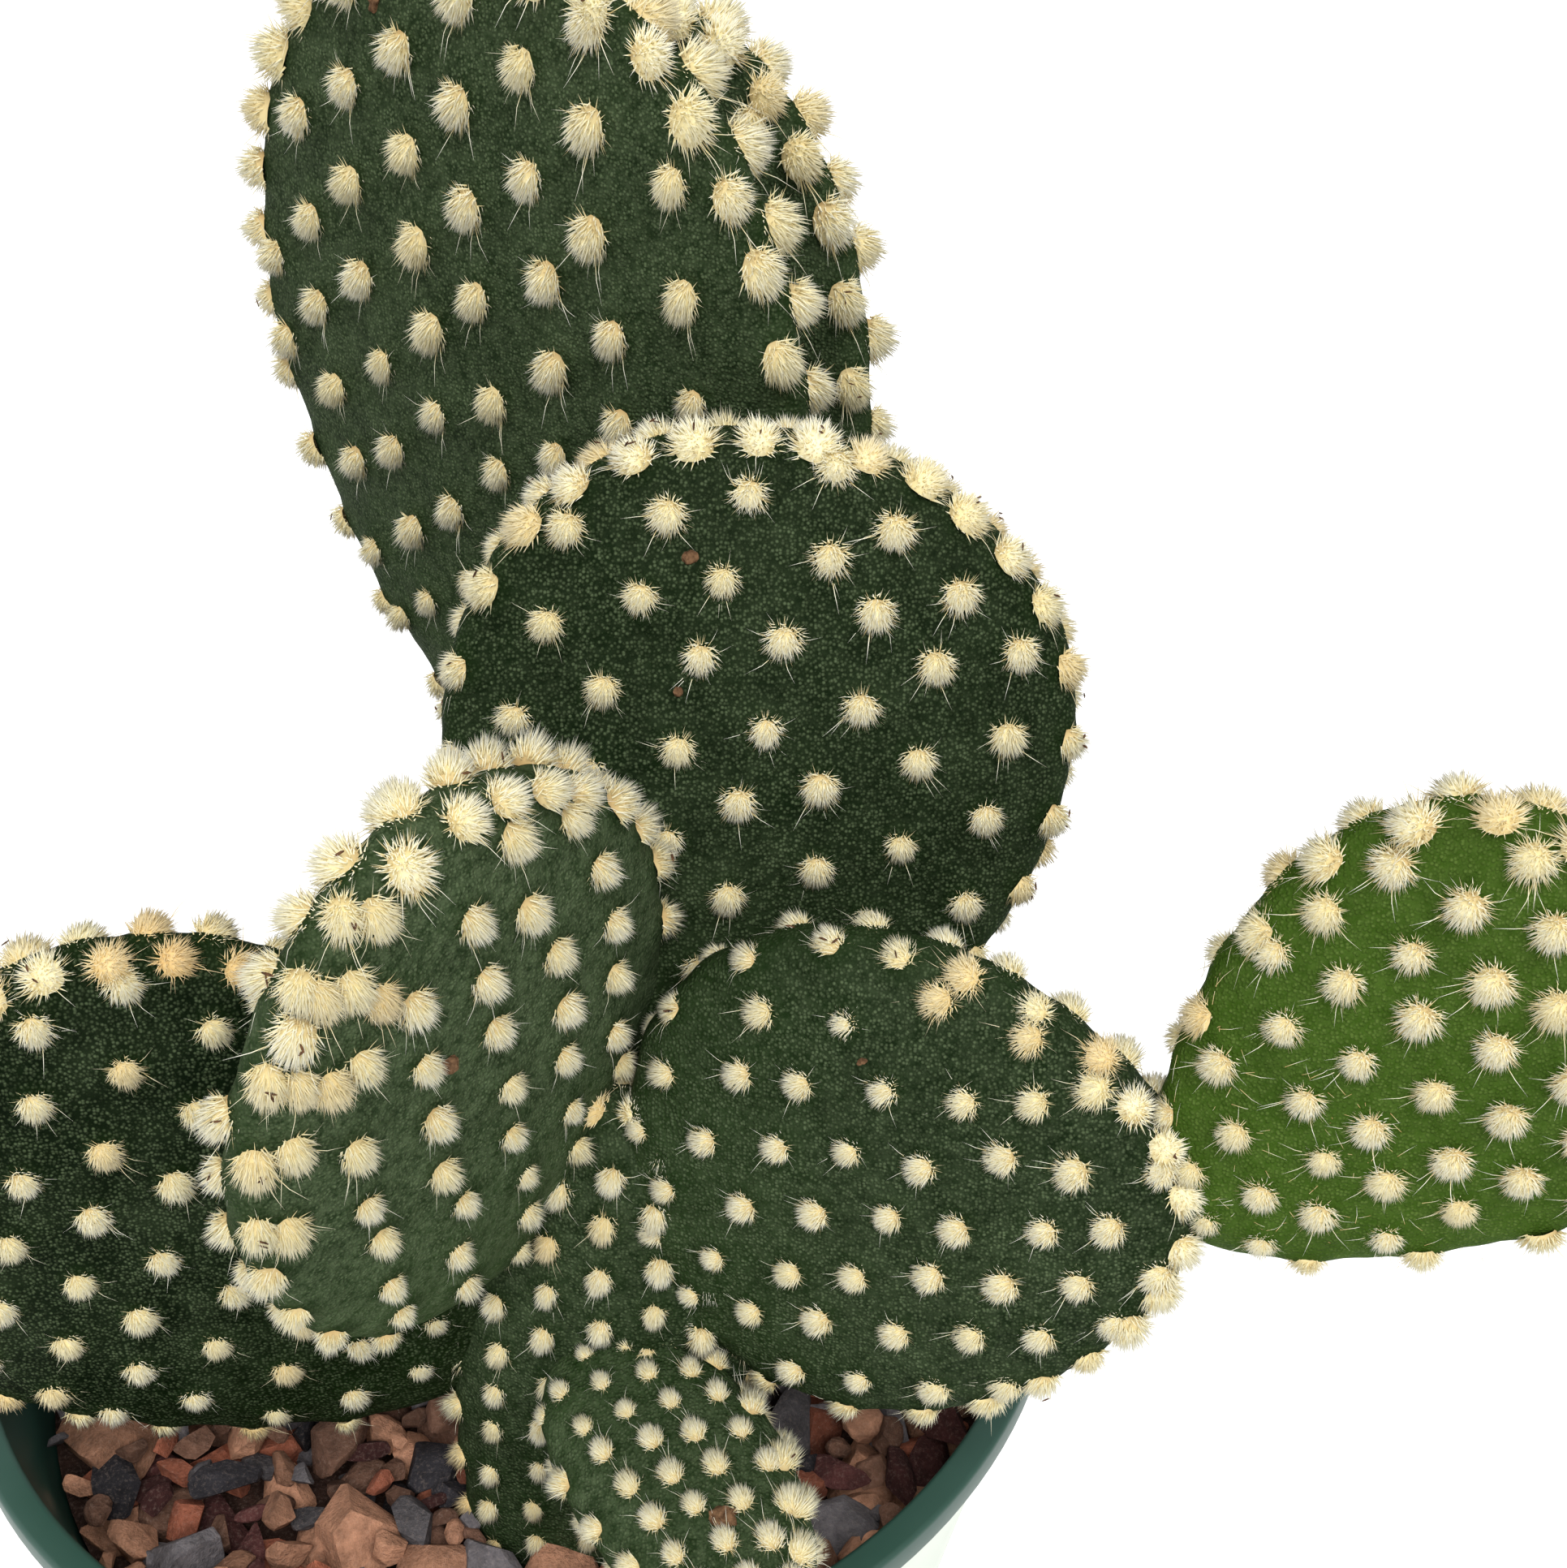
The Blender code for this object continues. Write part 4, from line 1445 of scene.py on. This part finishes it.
class CACTUS_OT_stage(bpy.types.Operator):
    """Set up the floor, the light and the camera"""

    bl_idname = "cactus.stage"
    bl_label = "Stage"

    def execute(self, context):
        scene = context.scene
        stage = scene.cactus_stage
        staged = (
            new_floor(stage),
            new_light("key", stage.key, (0.15, -0.60, 0.78), 38.0),
            new_light("fill", stage.fill, (-0.75, -0.40, 0.53), 70.0),
            new_camera(),
        )
        for obj in staged:
            scene.collection.objects.link(obj)
        scene.camera = staged[-1]
        world = bpy.data.worlds.new("even_light")
        world.use_nodes = True
        background = world.node_tree.nodes["Background"]
        background.inputs["Color"].default_value = (1.0, 1.0, 1.0, 1.0)
        background.inputs["Strength"].default_value = stage.sky
        scene.world = world
        scene.view_settings.view_transform = "Standard"
        return {"FINISHED"}


class CACTUS_PT_panel(bpy.types.Panel):
    """The pieces, in the order they are built"""

    bl_label = "Potted paddle cactus"
    bl_idname = "CACTUS_PT_panel"
    bl_space_type = "VIEW_3D"
    bl_region_type = "UI"
    bl_category = "Cactus"

    def draw(self, context):
        for operator in OPERATORS:
            self.layout.operator(operator.bl_idname)


SETTINGS = {
    "cactus_pot": PotSettings,
    "cactus_gravel": GravelSettings,
    "cactus_plant": PlantSettings,
    "cactus_stage": StageSettings,
}
OPERATORS = (
    CACTUS_OT_pot, CACTUS_OT_gravel, CACTUS_OT_pads, CACTUS_OT_tufts, CACTUS_OT_marks,
    CACTUS_OT_stage,
)


def register():
    """Register the settings, the operators and the panel."""
    for name, group in SETTINGS.items():
        bpy.utils.register_class(group)
        setattr(bpy.types.Scene, name, bpy.props.PointerProperty(type=group))
    for item in (*OPERATORS, CACTUS_PT_panel):
        bpy.utils.register_class(item)


def unregister():
    """Take back everything that register added."""
    for item in reversed((*OPERATORS, CACTUS_PT_panel)):
        bpy.utils.unregister_class(item)
    for name, group in SETTINGS.items():
        delattr(bpy.types.Scene, name)
        bpy.utils.unregister_class(group)


def main():
    """Build every piece."""
    register()
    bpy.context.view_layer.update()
    for operator in OPERATORS:
        part, name = operator.bl_idname.split(".")
        getattr(getattr(bpy.ops, part), name)()


if __name__ == "__main__":
    main()
